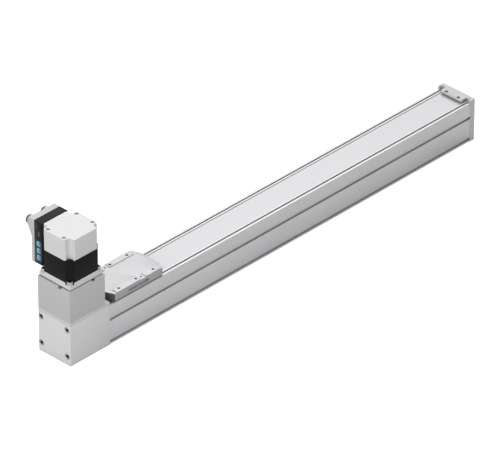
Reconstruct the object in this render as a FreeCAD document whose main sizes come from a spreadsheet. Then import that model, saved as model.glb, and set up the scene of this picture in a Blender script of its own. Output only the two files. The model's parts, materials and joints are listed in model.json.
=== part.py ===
import FreeCAD, Part
import math
import os
import re
import Sketcher

# Belt driven linear axis: a slide on an internal ball rail, pulled by a toothed belt that stands on
# edge inside an aluminium profile. The motor stands on the drive housing and turns the drive pulley
# through a jaw coupling. Lengths are in millimetres. X runs along the travel from the drive end to
# the far end, Z is up, and the origin is on the underside, below the drive shaft.

# Driving sizes of the profile
SIZES = {
    "profile_length": 702.5,
    "profile_width": 60,
    "profile_height": 61.5,
    "profile_floor": 6,
    "profile_wall": 8.5,
    "rim_thickness": 4.5,
    "throat_depth": 10,
    "edge_bevel": 0.8,
    "slot_mouth": 4,
    "slot_lip": 1.4,
    "slot_width": 5.6,
    "slot_depth": 3.4,
    "slot_low": 4.7,
    "slot_drop": 12.7,
    "port_radius": 2.05,
    "port_inset": 5.7,
    "port_low": 23,
    "port_drop": 3.9,
}

# Fits and clearances that several pieces share
SIZES.update({
    "slide_gap": 0.3,
    "seat_gap": 0.05,
    "bore_gap": 0.02,
    "spin_gap": 0.03,
    "hole_gap": 0.25,
    "mesh_gap": 0.12,
})

# Rail, bearing blocks and carriage
SIZES.update({
    "rail_width": 15,
    "rail_sunk": 0.5,
    "rail_start_gap": 2,
    "rail_end_gap": 10.5,
    "rail_end_margin": 15,
    "rail_pitch": 110,
    "rail_track": 1.6,
    "block_side_room": 4.5,
    "block_steel": 24,
    "block_cap": 4.5,
    "block_spacing": 1.5,
    "block_lift": 5,
    "block_over_rail": 11,
    "block_tap_depth": 6,
    "block_roof": 0.5,
    "block_bevel": 1.5,
    "carriage_length": 68,
    "foot_inset": 0.5,
    "foot_gap": 0.6,
    "foot_thickness": 3.5,
    "pillar_width": 18,
    "pillar_length": 48,
    "wing_gap": 0.4,
    "wing_thickness": 3.5,
    "block_hole_along": 6,
    "table_hole_inset": 3.5,
    "table_hole_along": 26,
    "magnet_length": 10,
    "magnet_height": 6,
    "magnet_depth": 3,
    "magnet_drop": 7.5,
})

# Slide table and cover
SIZES.update({
    "slide_length": 99.4,
    "slide_lift": 2.2,
    "slide_thickness": 12.3,
    "slide_start_gap": 4.8,
    "slide_end_gap": 10.3,
    "nose_length": 5,
    "nose_side": 12.6,
    "slide_rail_width": 10,
    "slide_rail_height": 1,
    "slide_rail_length": 81,
    "wiper_thickness": 3,
    "wiper_roof": 1.4,
    "wiper_inset": 0.2,
    "wiper_sliver": 0.6,
    "table_hole_radius": 2.1,
    "table_hole_depth": 9,
    "table_hole_pitch": 32,
    "table_hole_edge": 5.5,
    "pin_hole_radius": 1.5,
    "pin_hole_depth": 4,
    "pin_hole_offset": 9.2,
    "pin_pad_length": 10.2,
    "grip_length": 38,
    "grip_height": 5,
    "grip_depth": 2.6,
    "grip_lift": 4.7,
    "grip_hole_radius": 1.6,
    "grip_hole_depth": 5,
    "lip_thickness": 1.2,
    "lip_inset": 0.8,
    "web_thickness": 1.9,
    "tongue_thickness": 3.5,
    "tongue_width": 10.2,
    "cover_thickness": 2.1,
    "strip_inset": 3,
    "strip_thickness": 0.4,
    "strip_sink": 0.9,
    "strip_side_gap": 0.4,
    "cover_into_adapter": 4.5,
    "cover_into_cap": 4.5,
})

# Toothed belt, pulleys and clamp
SIZES.update({
    "belt_pitch": 5,
    "pulley_teeth": 16,
    "belt_width": 15,
    "belt_drop": 2,
    "belt_backing": 1,
    "belt_cord_depth": 0.5,
    "tooth_height": 1.2,
    "tooth_root": 2.65,
    "tooth_tip": 1.78,
    "gap_widening": 0.3,
    "gap_deepening": 0.25,
    "pulley_rim": 0.9,
    "pulley_rim_height": 2,
    "idler_setback": 15.5,
    "clamp_length": 44,
    "clamp_thickness": 2,
    "clamp_screw_rise": 4,
})

# Drive housing, adapter and shaft
SIZES.update({
    "housing_back": 33,
    "housing_front": 40.5,
    "housing_step": 6,
    "adapter_thickness": 7.2,
    "adapter_inset": 2,
    "adapter_low": 3,
    "adapter_step": 3,
    "adapter_gap": 0.1,
    "tunnel_width": 31,
    "tunnel_below": 2.5,
    "tunnel_above": 2.3,
    "chamber_step": 2.8,
    "chamber_below": 2.6,
    "carrier_side_wall": 9.7,
    "carrier_height": 13.5,
    "carrier_lip": 5.5,
    "carrier_mouth": 7.5,
    "shaft_radius": 5,
    "shaft_seat_radius": 6,
    "shaft_foot": 2,
    "shaft_shoulder_gap": 0.3,
    "shaft_short_of_jaws": 1,
    "relief_radius": 8,
    "relief_depth": 3,
    "bearing_radius": 13,
    "bearing_height": 8,
    "long_screw_inset": 5.75,
    "long_screw_sink": 0.5,
    "long_screw_low": 13.5,
    "long_screw_drop": 12.5,
})

# Coupling housing and jaw coupling
SIZES.update({
    "coupling_height": 48.9,
    "coupling_bore": 19.1,
    "coupling_half_length": 33,
    "coupling_screw_end": 7,
    "coupling_screw_inset": 5.4,
    "coupling_screw_lift": 12.5,
    "coupling_tap_depth": 8,
    "vent_width": 6,
    "vent_height": 2.8,
    "vent_depth": 20,
    "vent_offset": 11.6,
    "hub_radius": 12.5,
    "hub_height": 14,
    "hub_lift": 2.5,
    "jaw_height": 8,
    "jaw_inner": 8,
    "jaw_angle": 40,
    "spider_ring": 7.5,
    "spider_arm": 2.4,
    "spider_reach": 11.8,
    "spider_gap": 0.4,
})

# Motor and encoder
SIZES.update({
    "motor_half_x": 30.25,
    "motor_half_y": 28.75,
    "flange_thickness": 9.8,
    "flange_groove": 1,
    "flange_groove_depth": 1.8,
    "pilot_radius": 19.05,
    "pilot_height": 1.6,
    "motor_hole_x": 25.9,
    "motor_hole_y": 23.8,
    "motor_pocket_radius": 5.8,
    "motor_pocket_depth": 3.2,
    "motor_screw_length": 14,
    "motor_tap_depth": 12,
    "casing_height": 33.8,
    "casing_corner": 9,
    "casing_bore": 24.5,
    "casing_roof": 8,
    "stator_height": 22,
    "stator_lift": 2.8,
    "stator_inner": 15.2,
    "stator_slots": 8,
    "stator_slot_width": 4,
    "stator_slot_depth": 5,
    "rotor_radius": 14.8,
    "rotor_height": 20,
    "motor_shaft_radius": 4,
    "motor_shaft_lift": 24,
    "motor_shaft_stub": 1,
    "motor_bearing_radius": 11,
    "motor_bearing_height": 7,
    "motor_bearing_lift": 0.8,
    "cover_height": 32,
    "cover_wall": 2.5,
    "cover_roof": 3,
    "cover_corner": 10.2,
    "flute_radius": 5,
    "flute_depth": 3.9,
    "cover_screw_x": 26.2,
    "cover_screw_y": 14.7,
    "cover_boss_radius": 3.6,
    "cover_screw_sink": 2.2,
    "cover_screw_length": 36,
    "board_radius": 20,
    "board_thickness": 1.6,
    "board_lift": 4,
    "post_radius": 2,
    "post_place": 12,
    "encoder_chip": 8,
    "encoder_magnet_radius": 3.5,
    "encoder_magnet_height": 1.5,
})

# Controller box and connectors
SIZES.update({
    "box_half_length": 23.5,
    "box_depth": 15,
    "box_lift": 0.4,
    "box_over_motor": 0.4,
    "box_wall": 2.5,
    "panel_width": 13,
    "panel_height": 62,
    "panel_thickness": 1.2,
    "panel_sink": 0.9,
    "panel_margin": 2,
    "key_width": 8.6,
    "key_height": 7.4,
    "key_pitch": 10.6,
    "key_thickness": 0.3,
    "key_lift": 10.9,
    "lid_depth": 5.3,
    "hump_depth": 12,
    "boss_reach": 4.6,
    "lid_wall": 2,
    "slant_lift": 38.4,
    "slant_height": 15,
    "hump_bevel": 2,
    "lid_screw_x": 18,
    "lid_screw_lift_high": 23.4,
    "lid_screw_lift_low": 4.4,
    "circuit_length": 38,
    "circuit_height": 56,
    "circuit_lift": 5,
    "circuit_thickness": 1.6,
    "connector_left": -13,
    "connector_right": 14,
    "connector_drop": 11.2,
    "connector_radius": 6.4,
    "connector_collar": 7.2,
    "connector_collar_height": 1.2,
    "connector_length": 4.4,
    "connector_bore": 4.6,
    "connector_bore_depth": 8.5,
    "connector_root": 6,
    "connector_root_radius": 5.2,
    "socket_radius": 5.4,
    "contact_radius": 0.5,
    "contact_circle": 2.75,
    "contact_length": 4,
    "contact_root": 1,
})

# End cap, idler and buffers
SIZES.update({
    "cap_thickness": 11,
    "cap_step": 4.5,
    "tab_reach": 6.5,
    "tab_inset": 10.5,
    "tab_lift": 1.5,
    "notch_length": 4.5,
    "notch_width": 7.5,
    "notch_drop": 2.5,
    "eye_radius": 2,
    "eye_depth": 6,
    "eye_offset": 0.8,
    "web_pocket_depth": 4.5,
    "bracket_web_width": 24,
    "bracket_web": 4,
    "bracket_web_gap": 0.3,
    "arm_thickness": 6,
    "arm_gap": 0.6,
    "bracket_arm_width": 13,
    "axle_radius": 4,
    "axle_head_radius": 5.5,
    "axle_head_height": 1.5,
    "idler_bearing_radius": 8,
    "idler_bearing_height": 5,
    "idler_shoulder": 6.5,
    "strip_clamp_height": 1,
    "strip_clamp_length": 9,
    "near_clamp_length": 3.8,
    "strip_clamp_inset": 1.5,
    "clamp_screw_side": 11.2,
    "buffer_radius": 3.5,
    "buffer_side": 12.5,
    "buffer_drop": 7.9,
    "buffer_gap": 0.35,
})

# Cap screws: shank radius, head radius and head height of each thread size
SIZES.update({
    "screw5_radius": 2.5,
    "screw5_head": 4.25,
    "screw5_head_height": 5,
    "screw4_radius": 2,
    "screw4_head": 3.5,
    "screw4_head_height": 4,
    "screw3_radius": 1.5,
    "screw3_head": 2.7,
    "screw3_head_height": 1.9,
    "head_gap": 0.3,
    "tap_gap": 0.05,
})

# Places worked out from the driving sizes
PLACES = {
    "half_width": "profile_width / 2",
    "profile_end": "housing_front + profile_length",
    "ledge_height": "profile_height - throat_depth",
    "slot_high": "ledge_height - slot_drop",
    "port_side": "half_width - port_inset",
    "port_high": "ledge_height - port_drop",
    "cavity_half": "profile_width / 2 - profile_wall",
    "throat_half": "profile_width / 2 - rim_thickness",
    "belt_bottom": "ledge_height - belt_drop - belt_width",
    "belt_middle": "belt_bottom + belt_width / 2",
    "belt_top": "belt_bottom + belt_width",
    "pulley_bottom": "belt_bottom - pulley_rim",
    "pulley_top": "belt_top + pulley_rim",
    "foot_top": "pulley_bottom - foot_gap",
    "block_top": "foot_top - foot_thickness",
    "block_bottom": "rail_bottom + block_lift",
    "block_width": "2 * (cavity_half - block_side_room)",
    "block_hole_side": "(rail_width + block_width) / 4",
    "foot_width": "block_width - 2 * foot_inset",
    "magnet_bottom": "block_top - magnet_drop",
    "rail_bottom": "profile_floor - rail_sunk",
    "rail_top": "block_top - block_over_rail",
    "rail_height": "rail_top - rail_bottom",
    "rail_start": "housing_front + rail_start_gap",
    "rail_length": "profile_length - rail_start_gap - rail_end_gap",
    "rail_holes": "floor((rail_length - 2 * rail_end_margin) / rail_pitch) + 1",
    "rail_first": "(rail_length - (rail_holes - 1) * rail_pitch) / 2",
    "pitch_radius": "belt_pitch * pulley_teeth / (2 * pi)",
    "land_radius": "pitch_radius - belt_cord_depth",
    "back_radius": "land_radius + belt_backing",
    "tip_radius": "land_radius - tooth_height",
    "pulley_radius": "land_radius - mesh_gap",
    "rim_radius": "pulley_radius + pulley_rim_height",
    "belt_teeth": "round(2 * (profile_end - idler_setback) / belt_pitch) + pulley_teeth",
    "idler_x": "(belt_teeth - pulley_teeth) * belt_pitch / 2",
    "carriage_x": "round((housing_front + slide_start_gap + slide_length / 2) / belt_pitch) * belt_pitch",
    "carriage_back": "carriage_x - carriage_length / 2",
    "travel": "profile_end - slide_end_gap - slide_length / 2 - carriage_x",
    "block_length": "block_steel + 2 * block_cap",
    "block_shift": "(block_length + block_spacing) / 2",
    "wing_bottom": "ledge_height + wing_gap",
    "wing_top": "wing_bottom + wing_thickness",
    "wing_half": "throat_half - slide_gap",
    "web_inner": "wing_half - web_thickness",
    "tongue_top": "wing_top + tongue_thickness",
    "table_hole_side": "cavity_half - table_hole_inset",
    "slide_bottom": "profile_height + slide_lift",
    "slide_top": "slide_bottom + slide_thickness",
    "table_hole_width": "profile_width - 2 * table_hole_edge",
    "grip_level": "slide_bottom + grip_lift",
    "wiper_bottom": "profile_height + slide_gap",
    "cover_top": "profile_height",
    "cover_bottom": "cover_top - cover_thickness",
    "cover_width": "2 * (web_inner - slide_gap)",
    "strip_width": "cover_width - 2 * strip_inset",
    "housing_height": "profile_height + housing_step",
    "adapter_high": "profile_height + adapter_step",
    "adapter_width": "profile_width - 2 * adapter_inset",
    "tunnel_low": "belt_bottom - tunnel_below",
    "tunnel_high": "belt_top + tunnel_above",
    "carrier_radius": "half_width - carrier_side_wall",
    "chamber_radius": "carrier_radius - chamber_step",
    "chamber_floor": "pulley_bottom - chamber_below",
    "long_screw_side": "half_width - long_screw_inset",
    "long_screw_high": "housing_height - long_screw_drop",
    "adapter_back": "housing_front - adapter_thickness",
    "strip_top": "cover_top - strip_sink",
    "strip_screw_near": "housing_front - cover_into_adapter + near_clamp_length / 2",
    "bearing_low": "chamber_floor - bearing_height - 2",
    "carrier_bottom": "housing_height - carrier_height",
    "coupling_top": "housing_height + coupling_height",
    "coupling_screw_x": "coupling_half_length - coupling_screw_end",
    "coupling_screw_y": "half_width - coupling_screw_inset",
    "coupling_screw_level": "housing_height + coupling_screw_lift",
    "hub_bottom": "housing_height + hub_lift",
    "shaft_top": "hub_bottom + hub_height - shaft_short_of_jaws",
    "flange_top": "coupling_top + flange_thickness",
    "casing_top": "flange_top + casing_height",
    "motor_top": "casing_top + cover_height",
    "motor_shaft_bottom": "hub_bottom + motor_shaft_lift",
    "motor_shaft_top": "casing_top + motor_shaft_stub",
    "box_bottom": "flange_top + box_lift",
    "box_top": "motor_top + box_over_motor",
    "key_level": "box_bottom + key_lift",
    "slant_low": "box_bottom + slant_lift",
    "slant_high": "slant_low + slant_height",
    "lid_screw_low": "box_bottom + lid_screw_lift_low",
    "lid_screw_z": "box_bottom + lid_screw_lift_high",
    "connector_level": "motor_top - connector_drop",
    "cap_height": "profile_height + cap_step",
    "tab_width": "profile_width - 2 * tab_inset",
    "tab_bottom": "profile_height + tab_lift",
    "notch_bottom": "profile_height - notch_drop",
    "arm_low_top": "pulley_bottom - arm_gap",
    "arm_high_bottom": "pulley_top + arm_gap",
    "bracket_low": "arm_low_top - arm_thickness",
    "bracket_high": "arm_high_bottom + arm_thickness",
    "tension_screw_low": "belt_middle - clamp_screw_rise",
    "tension_screw_high": "belt_middle + clamp_screw_rise",
    "clamp_half_width": "strip_width / 2 - strip_clamp_inset",
    "buffer_level": "block_top - buffer_drop",
    "cap_end": "profile_end + cap_thickness",
    "bracket_back": "profile_end + bracket_web_gap",
    "box_start": "motor_half_y",
    "box_end": "motor_half_y + box_depth",
    "lid_end": "box_end + lid_depth",
    "hump_end": "box_end + hump_depth",
    "boss_end": "hump_end + boss_reach",
}

doc = FreeCAD.newDocument("linear_axis")
kept = []

# Turns that point a piece's own +Z another way
UP = FreeCAD.Rotation()
DOWN = FreeCAD.Rotation(FreeCAD.Vector(1, 0, 0), 180)
TO_BACK = FreeCAD.Rotation(FreeCAD.Vector(0, 1, 0), -90)
TO_FAR = FreeCAD.Rotation(FreeCAD.Vector(0, 1, 0), 90)
TO_NEAR_SIDE = FreeCAD.Rotation(FreeCAD.Vector(1, 0, 0), 90)
TO_FAR_SIDE = FreeCAD.Rotation(FreeCAD.Vector(1, 0, 0), -90)


def spelled(text):
    """The expression with each named size or place spelled as a cell of its sheet."""
    def cell(match):
        word = match.group(0)
        if word in SIZES:
            return "sizes." + word
        if word in PLACES:
            return "places." + word
        return word
    return re.sub(r"[A-Za-z_]\w*", cell, text)


def make_sheets():
    """One sheet of driving sizes, and one of the places worked out from them."""
    sizes = doc.addObject("Spreadsheet::Sheet", "sizes")
    for row, (name, value) in enumerate(SIZES.items(), 1):
        sizes.set(f"A{row}", name)
        sizes.set(f"B{row}", str(value))
        sizes.setAlias(f"B{row}", name)
    doc.recompute()
    places = doc.addObject("Spreadsheet::Sheet", "places")
    for row, name in enumerate(PLACES, 1):
        places.set(f"A{row}", name)
        places.setAlias(f"B{row}", name)
    for row, text in enumerate(PLACES.values(), 1):
        places.set(f"B{row}", "=" + spelled(text).replace("places.", ""))
    doc.recompute()
    return sizes


def number(text):
    """The present value of an expression."""
    found = sheet.evalExpression(spelled(text))
    return float(getattr(found, "Value", found))


def bind(thing, name, text):
    thing.setExpression(name, spelled(text))


def place(thing, x="0", y="0", z="0", turn=UP):
    thing.Placement = FreeCAD.Placement(FreeCAD.Vector(0, 0, 0), turn)
    for axis, text in (("x", x), ("y", y), ("z", z)):
        bind(thing, "Placement.Base." + axis, text)
    return thing


def keep(thing, label):
    """Marks an object as a sub-part and gives it the sub-part's name."""
    thing.Label = label
    kept.append(thing)
    return thing


def both(text):
    return [f"({text})", f"-({text})"]


def four(x, y):
    return [(a, b) for a in both(x) for b in both(y)]


def rectangle(x0, x1, y0, y1):
    return [(x0, y0), (x1, y0), (x1, y1), (x0, y1)]


def mirrored(half):
    """A closed outline from its right half, listed from one end of the mirror line to the other."""
    return half + [(f"-({x})", y) for x, y in reversed(half)]


def new_sketch(body, role, height="0"):
    plane = next(f for f in body.Origin.OriginFeatures if f.Role == role)
    sketch = body.newObject("Sketcher::SketchObject", "sketch")
    sketch.AttachmentSupport = [(plane, "")]
    sketch.MapMode = "FlatFace"
    bind(sketch, "AttachmentOffset.Base.z", height)
    return sketch


def draw_outline(sketch, corners):
    """A closed chain of straight lines, each corner bound to its two expressions."""
    first = sketch.GeometryCount
    points = [FreeCAD.Vector(number(x), number(y), 0) for x, y in corners]
    count = len(points)
    for i in range(count):
        sketch.addGeometry(Part.LineSegment(points[i], points[(i + 1) % count]))
    for i in range(count):
        following = first + (i + 1) % count
        sketch.addConstraint(Sketcher.Constraint("Coincident", first + i, 2, following, 1))
    for i, (x, y) in enumerate(corners):
        bind_point(sketch, first + i, 1, points[i], x, y)


def bind_point(sketch, line, end, point, x, y):
    for kind, value, text in (("DistanceX", point.x, x), ("DistanceY", point.y, y)):
        index = sketch.addConstraint(Sketcher.Constraint(kind, line, end, value))
        bind(sketch, f"Constraints[{index}]", text)


def draw_circle(sketch, x, y, radius):
    centre = FreeCAD.Vector(number(x), number(y), 0)
    circle = Part.Circle(centre, FreeCAD.Vector(0, 0, 1), number(radius))
    line = sketch.addGeometry(circle)
    bind_point(sketch, line, 3, centre, x, y)
    index = sketch.addConstraint(Sketcher.Constraint("Radius", line, number(radius)))
    bind(sketch, f"Constraints[{index}]", radius)


def fill_sketch(sketch, outlines, circles):
    for corners in outlines:
        draw_outline(sketch, corners)
    for x, y, radius in circles:
        draw_circle(sketch, x, y, radius)


def new_body(name):
    return doc.addObject("PartDesign::Body", name)


def pad(body, role, height, length, outlines=(), circles=(), back=False):
    """Adds material from the sketch plane along its normal, or against it."""
    sketch = new_sketch(body, role, height)
    fill_sketch(sketch, outlines, circles)
    feature = body.newObject("PartDesign::Pad", "pad")
    feature.Profile = sketch
    feature.Reversed = back
    bind(feature, "Length", length)
    return feature


def pocket(body, role, height, length, outlines=(), circles=(), ahead=False):
    """Takes material away against the sketch's normal, or along it, and checks that it did."""
    doc.recompute()
    before = body.Shape.Volume
    sketch = new_sketch(body, role, height)
    fill_sketch(sketch, outlines, circles)
    feature = body.newObject("PartDesign::Pocket", "pocket")
    feature.Profile = sketch
    feature.Reversed = ahead
    bind(feature, "Length", length)
    doc.recompute()
    if body.Shape.Volume >= before:
        raise ValueError(f"a pocket in {body.Name} cut nothing")
    return feature


def revolve(name, outline):
    """A body turned about Z from an outline of (radius, height) pairs."""
    body = new_body(name)
    sketch = new_sketch(body, "XZ_Plane")
    draw_outline(sketch, outline)
    feature = body.newObject("PartDesign::Revolution", "turned")
    feature.Profile = sketch
    feature.ReferenceAxis = (sketch, ["V_Axis"])
    feature.Angle = 360
    return body


def ring(name, inner, outer, low, high):
    return revolve(name, rectangle(inner, outer, low, high))


def bevel(body, size, chosen):
    """Chamfers the edges of the body's last shape that the test picks."""
    doc.recompute()
    tip = body.Tip
    names = [f"Edge{i}" for i, edge in enumerate(tip.Shape.Edges, 1) if chosen(edge)]
    if not names:
        raise ValueError(f"no edge to bevel on {body.Name}")
    feature = body.newObject("PartDesign::Chamfer", "bevel")
    feature.Base = (tip, names)
    bind(feature, "Size", size)
    return feature


def upright(edge):
    ends = edge.Vertexes
    return len(ends) == 2 and abs(ends[0].X - ends[1].X) < 1e-6 and abs(ends[0].Y - ends[1].Y) < 1e-6


def outer_upright(x, y):
    """Picks the upright edges that lie on the outer corners of a block of that half size."""
    far = number(x)
    wide = number(y)

    def chosen(edge):
        spot = edge.CenterOfMass
        return upright(edge) and abs(abs(spot.x) - far) < 1e-4 and abs(abs(spot.y) - wide) < 1e-4
    return chosen


def link(name, source, x="0", y="0", z="0", turn=UP):
    copy = doc.addObject("App::Link", name)
    copy.LinkedObject = source
    return place(copy, x, y, z, turn)


def copies(label, source, spots, turn=UP):
    """One sub-part made of like solids, each a link to the same source."""
    group = doc.addObject("Part::Compound", label)
    group.Links = [link(f"{label}_{i}", source, x, y, z, turn) for i, (x, y, z) in enumerate(spots, 1)]
    return keep(group, label)


def compound(label, members):
    group = doc.addObject("Part::Compound", label)
    group.Links = members
    return keep(group, label)


def cylinder(name, radius, height, x="0", y="0", z="0", turn=UP):
    solid = doc.addObject("Part::Cylinder", name)
    bind(solid, "Radius", radius)
    bind(solid, "Height", height)
    return place(solid, x, y, z, turn)


def block(name, x0, x1, y0, y1, z0, z1):
    solid = doc.addObject("Part::Box", name)
    bind(solid, "Length", f"({x1}) - ({x0})")
    bind(solid, "Width", f"({y1}) - ({y0})")
    bind(solid, "Height", f"({z1}) - ({z0})")
    return place(solid, x0, y0, z0)


def cap_screw(name, size, length):
    """A cap screw on Z: the seat of its head at the origin, the shank below it."""
    shank = f"screw{size}_radius"
    head = f"screw{size}_head"
    rise = f"screw{size}_head_height"
    return revolve(name, [("0", f"-({length})"), (shank, f"-({length})"), (shank, "0"),
                          (head, "0"), (head, rise), ("0", rise)])


def hidden_screw(name, size, length):
    """The same screw with few faces, for places that nothing shows."""
    solids = []
    for part, radius, low, high, sides in (("shank", f"screw{size}_radius", f"-({length})", "0", 6),
                                           ("head", f"screw{size}_head", "0", f"screw{size}_head_height", 8)):
        solid = doc.addObject("Part::Prism", f"{name}_{part}")
        solid.Polygon = sides
        bind(solid, "Circumradius", radius)
        bind(solid, "Height", f"({high}) - ({low})")
        solids.append(place(solid, z=low))
    whole = doc.addObject("Part::MultiFuse", name)
    whole.Shapes = solids
    return whole


def side_slot(level):
    """One clamping slot in the profile's side, as corners of the section from below upwards."""
    lip = "half_width - slot_lip"
    root = "half_width - slot_depth"
    return [("half_width", f"{level} - slot_mouth / 2"), (lip, f"{level} - slot_mouth / 2"),
            (lip, f"{level} - slot_width / 2"), (root, f"{level} - slot_width / 2"),
            (root, f"{level} + slot_width / 2"), (lip, f"{level} + slot_width / 2"),
            (lip, f"{level} + slot_mouth / 2"), ("half_width", f"{level} + slot_mouth / 2")]


def rail_spots():
    return [f"rail_first + {i} * rail_pitch" for i in range(int(number("rail_holes")))]


# The extruded profile and its cover

def axis_profile():
    half = [("half_width - edge_bevel", "0"), ("half_width", "edge_bevel")]
    half += side_slot("slot_low") + side_slot("slot_high")
    half += [("half_width", "profile_height - edge_bevel"), ("half_width - edge_bevel", "profile_height"),
             ("throat_half", "profile_height"), ("throat_half", "ledge_height"),
             ("cavity_half", "ledge_height"), ("cavity_half", "profile_floor"),
             ("rail_width / 2 + seat_gap", "profile_floor"), ("rail_width / 2 + seat_gap", "rail_bottom")]
    ports = [(y, z, "port_radius") for y in both("port_side") for z in ("port_low", "port_high")]
    body = new_body("axis_profile")
    pad(body, "YZ_Plane", "0", "profile_length", [mirrored(half)], ports)
    taps = [(f"rail_start_gap + {x}", "0", "screw4_radius + tap_gap") for x in rail_spots()]
    pocket(body, "XY_Plane", "rail_bottom", "rail_bottom - 1.2", circles=taps)
    keep(place(body, x="housing_front"), "axis_profile")


def cover_plate():
    half = [("cover_width / 2", "cover_bottom"), ("cover_width / 2", "cover_top"),
            ("strip_width / 2 + strip_side_gap", "cover_top"),
            ("strip_width / 2 + strip_side_gap", "strip_top - strip_thickness")]
    body = new_body("cover_plate")
    pad(body, "YZ_Plane", "0", "profile_length + cover_into_adapter + cover_into_cap", [mirrored(half)])
    keep(place(body, x="housing_front - cover_into_adapter"), "cover_plate")


def cover_strip():
    strip = block("cover_strip", "housing_front - cover_into_adapter", "profile_end + cover_into_cap",
                  "-strip_width / 2", "strip_width / 2", "strip_top - strip_thickness", "strip_top")
    keep(strip, "cover_strip")


# The guide rail, its bearing blocks and the carriage that they carry

def guide_rail():
    side = "rail_width / 2"
    waist = "rail_width / 2 - rail_track"
    half = [(side, "0"), (side, "rail_height * 0.42"), (waist, "rail_height * 0.54"),
            (waist, "rail_height * 0.7"), (side, "rail_height * 0.82"), (side, "rail_height - edge_bevel"),
            ("rail_width / 2 - edge_bevel", "rail_height")]
    body = new_body("guide_rail")
    pad(body, "YZ_Plane", "0", "rail_length", [mirrored(half)])
    holes = [(x, "0", "screw4_radius + hole_gap") for x in rail_spots()]
    sinks = [(x, "0", "screw4_head + head_gap") for x in rail_spots()]
    pocket(body, "XY_Plane", "rail_height", "rail_height", circles=holes)
    pocket(body, "XY_Plane", "rail_height", "screw4_head_height + head_gap", circles=sinks)
    keep(place(body, x="rail_start", z="rail_bottom"), "guide_rail")


def rail_screws():
    seat = "rail_top - screw4_head_height - head_gap"
    screw = hidden_screw("rail_screw", 4, f"{seat} - 2")
    copies("rail_screws", screw, [(f"rail_start + {x}", "0", seat) for x in rail_spots()])


def block_outline(shrink):
    """Section of a block astride the rail, smaller all round by the given amount."""
    leg = "rail_width / 2 + slide_gap"
    side = f"block_width / 2 - {shrink}"
    top = f"block_top - {shrink}"
    return mirrored([(leg, "rail_top + block_roof"), (leg, "block_bottom"), (side, "block_bottom"),
                     (side, f"{top} - block_bevel"), (f"{side} - block_bevel", top)])


def bearing_blocks():
    body = new_body("bearing_block")
    pad(body, "YZ_Plane", "-block_steel / 2", "block_steel", [block_outline("0")])
    taps = [(x, y, "screw3_radius + tap_gap") for x, y in four("block_hole_along", "block_hole_side")]
    pocket(body, "XY_Plane", "block_top", "block_tap_depth", circles=taps)
    copies("bearing_blocks", body, [(f"carriage_x + {s}", "0", "0") for s in both("block_shift")])


def block_end_caps():
    body = new_body("block_end_cap")
    pad(body, "YZ_Plane", "0", "block_cap", [block_outline("slide_gap")])
    spots = []
    for shift in both("block_shift"):
        spots.append((f"carriage_x + {shift} - block_length / 2", "0", "0"))
        spots.append((f"carriage_x + {shift} + block_steel / 2", "0", "0"))
    copies("block_end_caps", body, spots)


def carriage_body():
    """Foot on the blocks, pillar between the belt's two strands, and wings below the cover."""
    foot = "foot_width / 2"
    pillar = "pillar_width / 2"
    half = [(foot, "block_top"), (foot, "foot_top"), (pillar, "foot_top"), (pillar, "wing_bottom"),
            ("wing_half", "wing_bottom"), ("wing_half", "wing_top")]
    body = new_body("carriage_body")
    pad(body, "YZ_Plane", "-carriage_length / 2", "carriage_length", [mirrored(half)])
    for side in ("1", "-1"):
        ends = rectangle(f"{side} * pillar_length / 2", f"{side} * carriage_length / 2", "foot_top",
                         "wing_bottom")
        pocket(body, "XZ_Plane", "-pillar_width", "2 * pillar_width", [ends], ahead=True)
    down = []
    sinks = []
    for shift in both("block_shift"):
        for x, y in four("block_hole_along", "block_hole_side"):
            down.append((f"{shift} + {x}", y, "screw3_radius + hole_gap"))
            sinks.append((f"{shift} + {x}", y, "screw3_head + head_gap"))
    pocket(body, "XY_Plane", "foot_top", "foot_thickness", circles=down)
    pocket(body, "XY_Plane", "foot_top", "screw3_head_height + 0.1", circles=sinks)
    up = [(x, y, "screw3_radius + hole_gap") for x, y in four("table_hole_along", "table_hole_side")]
    pocket(body, "XY_Plane", "wing_top", "wing_thickness", circles=up)
    taps = [("0", z, "screw3_radius + tap_gap") for z in clamp_screw_levels()]
    pocket(body, "XZ_Plane", "pillar_width / 2", "6", circles=taps)
    keep(place(body, x="carriage_x"), "carriage_body")


def block_screws():
    seat = "foot_top - screw3_head_height - 0.1"
    screw = hidden_screw("block_screw", 3, "6")
    spots = []
    for shift in both("block_shift"):
        spots += [(f"carriage_x + {shift} + {x}", y, seat) for x,
                  y in four("block_hole_along", "block_hole_side")]
    copies("block_screws", screw, spots)


def position_magnet():
    magnet = block("position_magnet", "carriage_x - block_shift - magnet_length / 2",
                   "carriage_x - block_shift + magnet_length / 2", "block_width / 2",
                   "block_width / 2 + magnet_depth", "magnet_bottom", "magnet_bottom + magnet_height")
    keep(magnet, "position_magnet")


# The slide table with its webs, end wipers and screws

def nose_outline(inset, slope):
    """The table seen from above: blunt ends that slope back to the sides."""
    flat = "half_width - nose_side"
    end = f"slide_length / 2 - ({inset})"
    side = f"slide_length / 2 - ({inset}) - ({slope})"
    right = [(f"-({end})", f"-({flat})"), (f"-({side})", "-half_width"),
             (side, "-half_width"), (end, f"-({flat})")]
    left = [(end, flat), (side, "half_width"), (f"-({side})", "half_width"), (f"-({end})", flat)]
    return right + left


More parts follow.
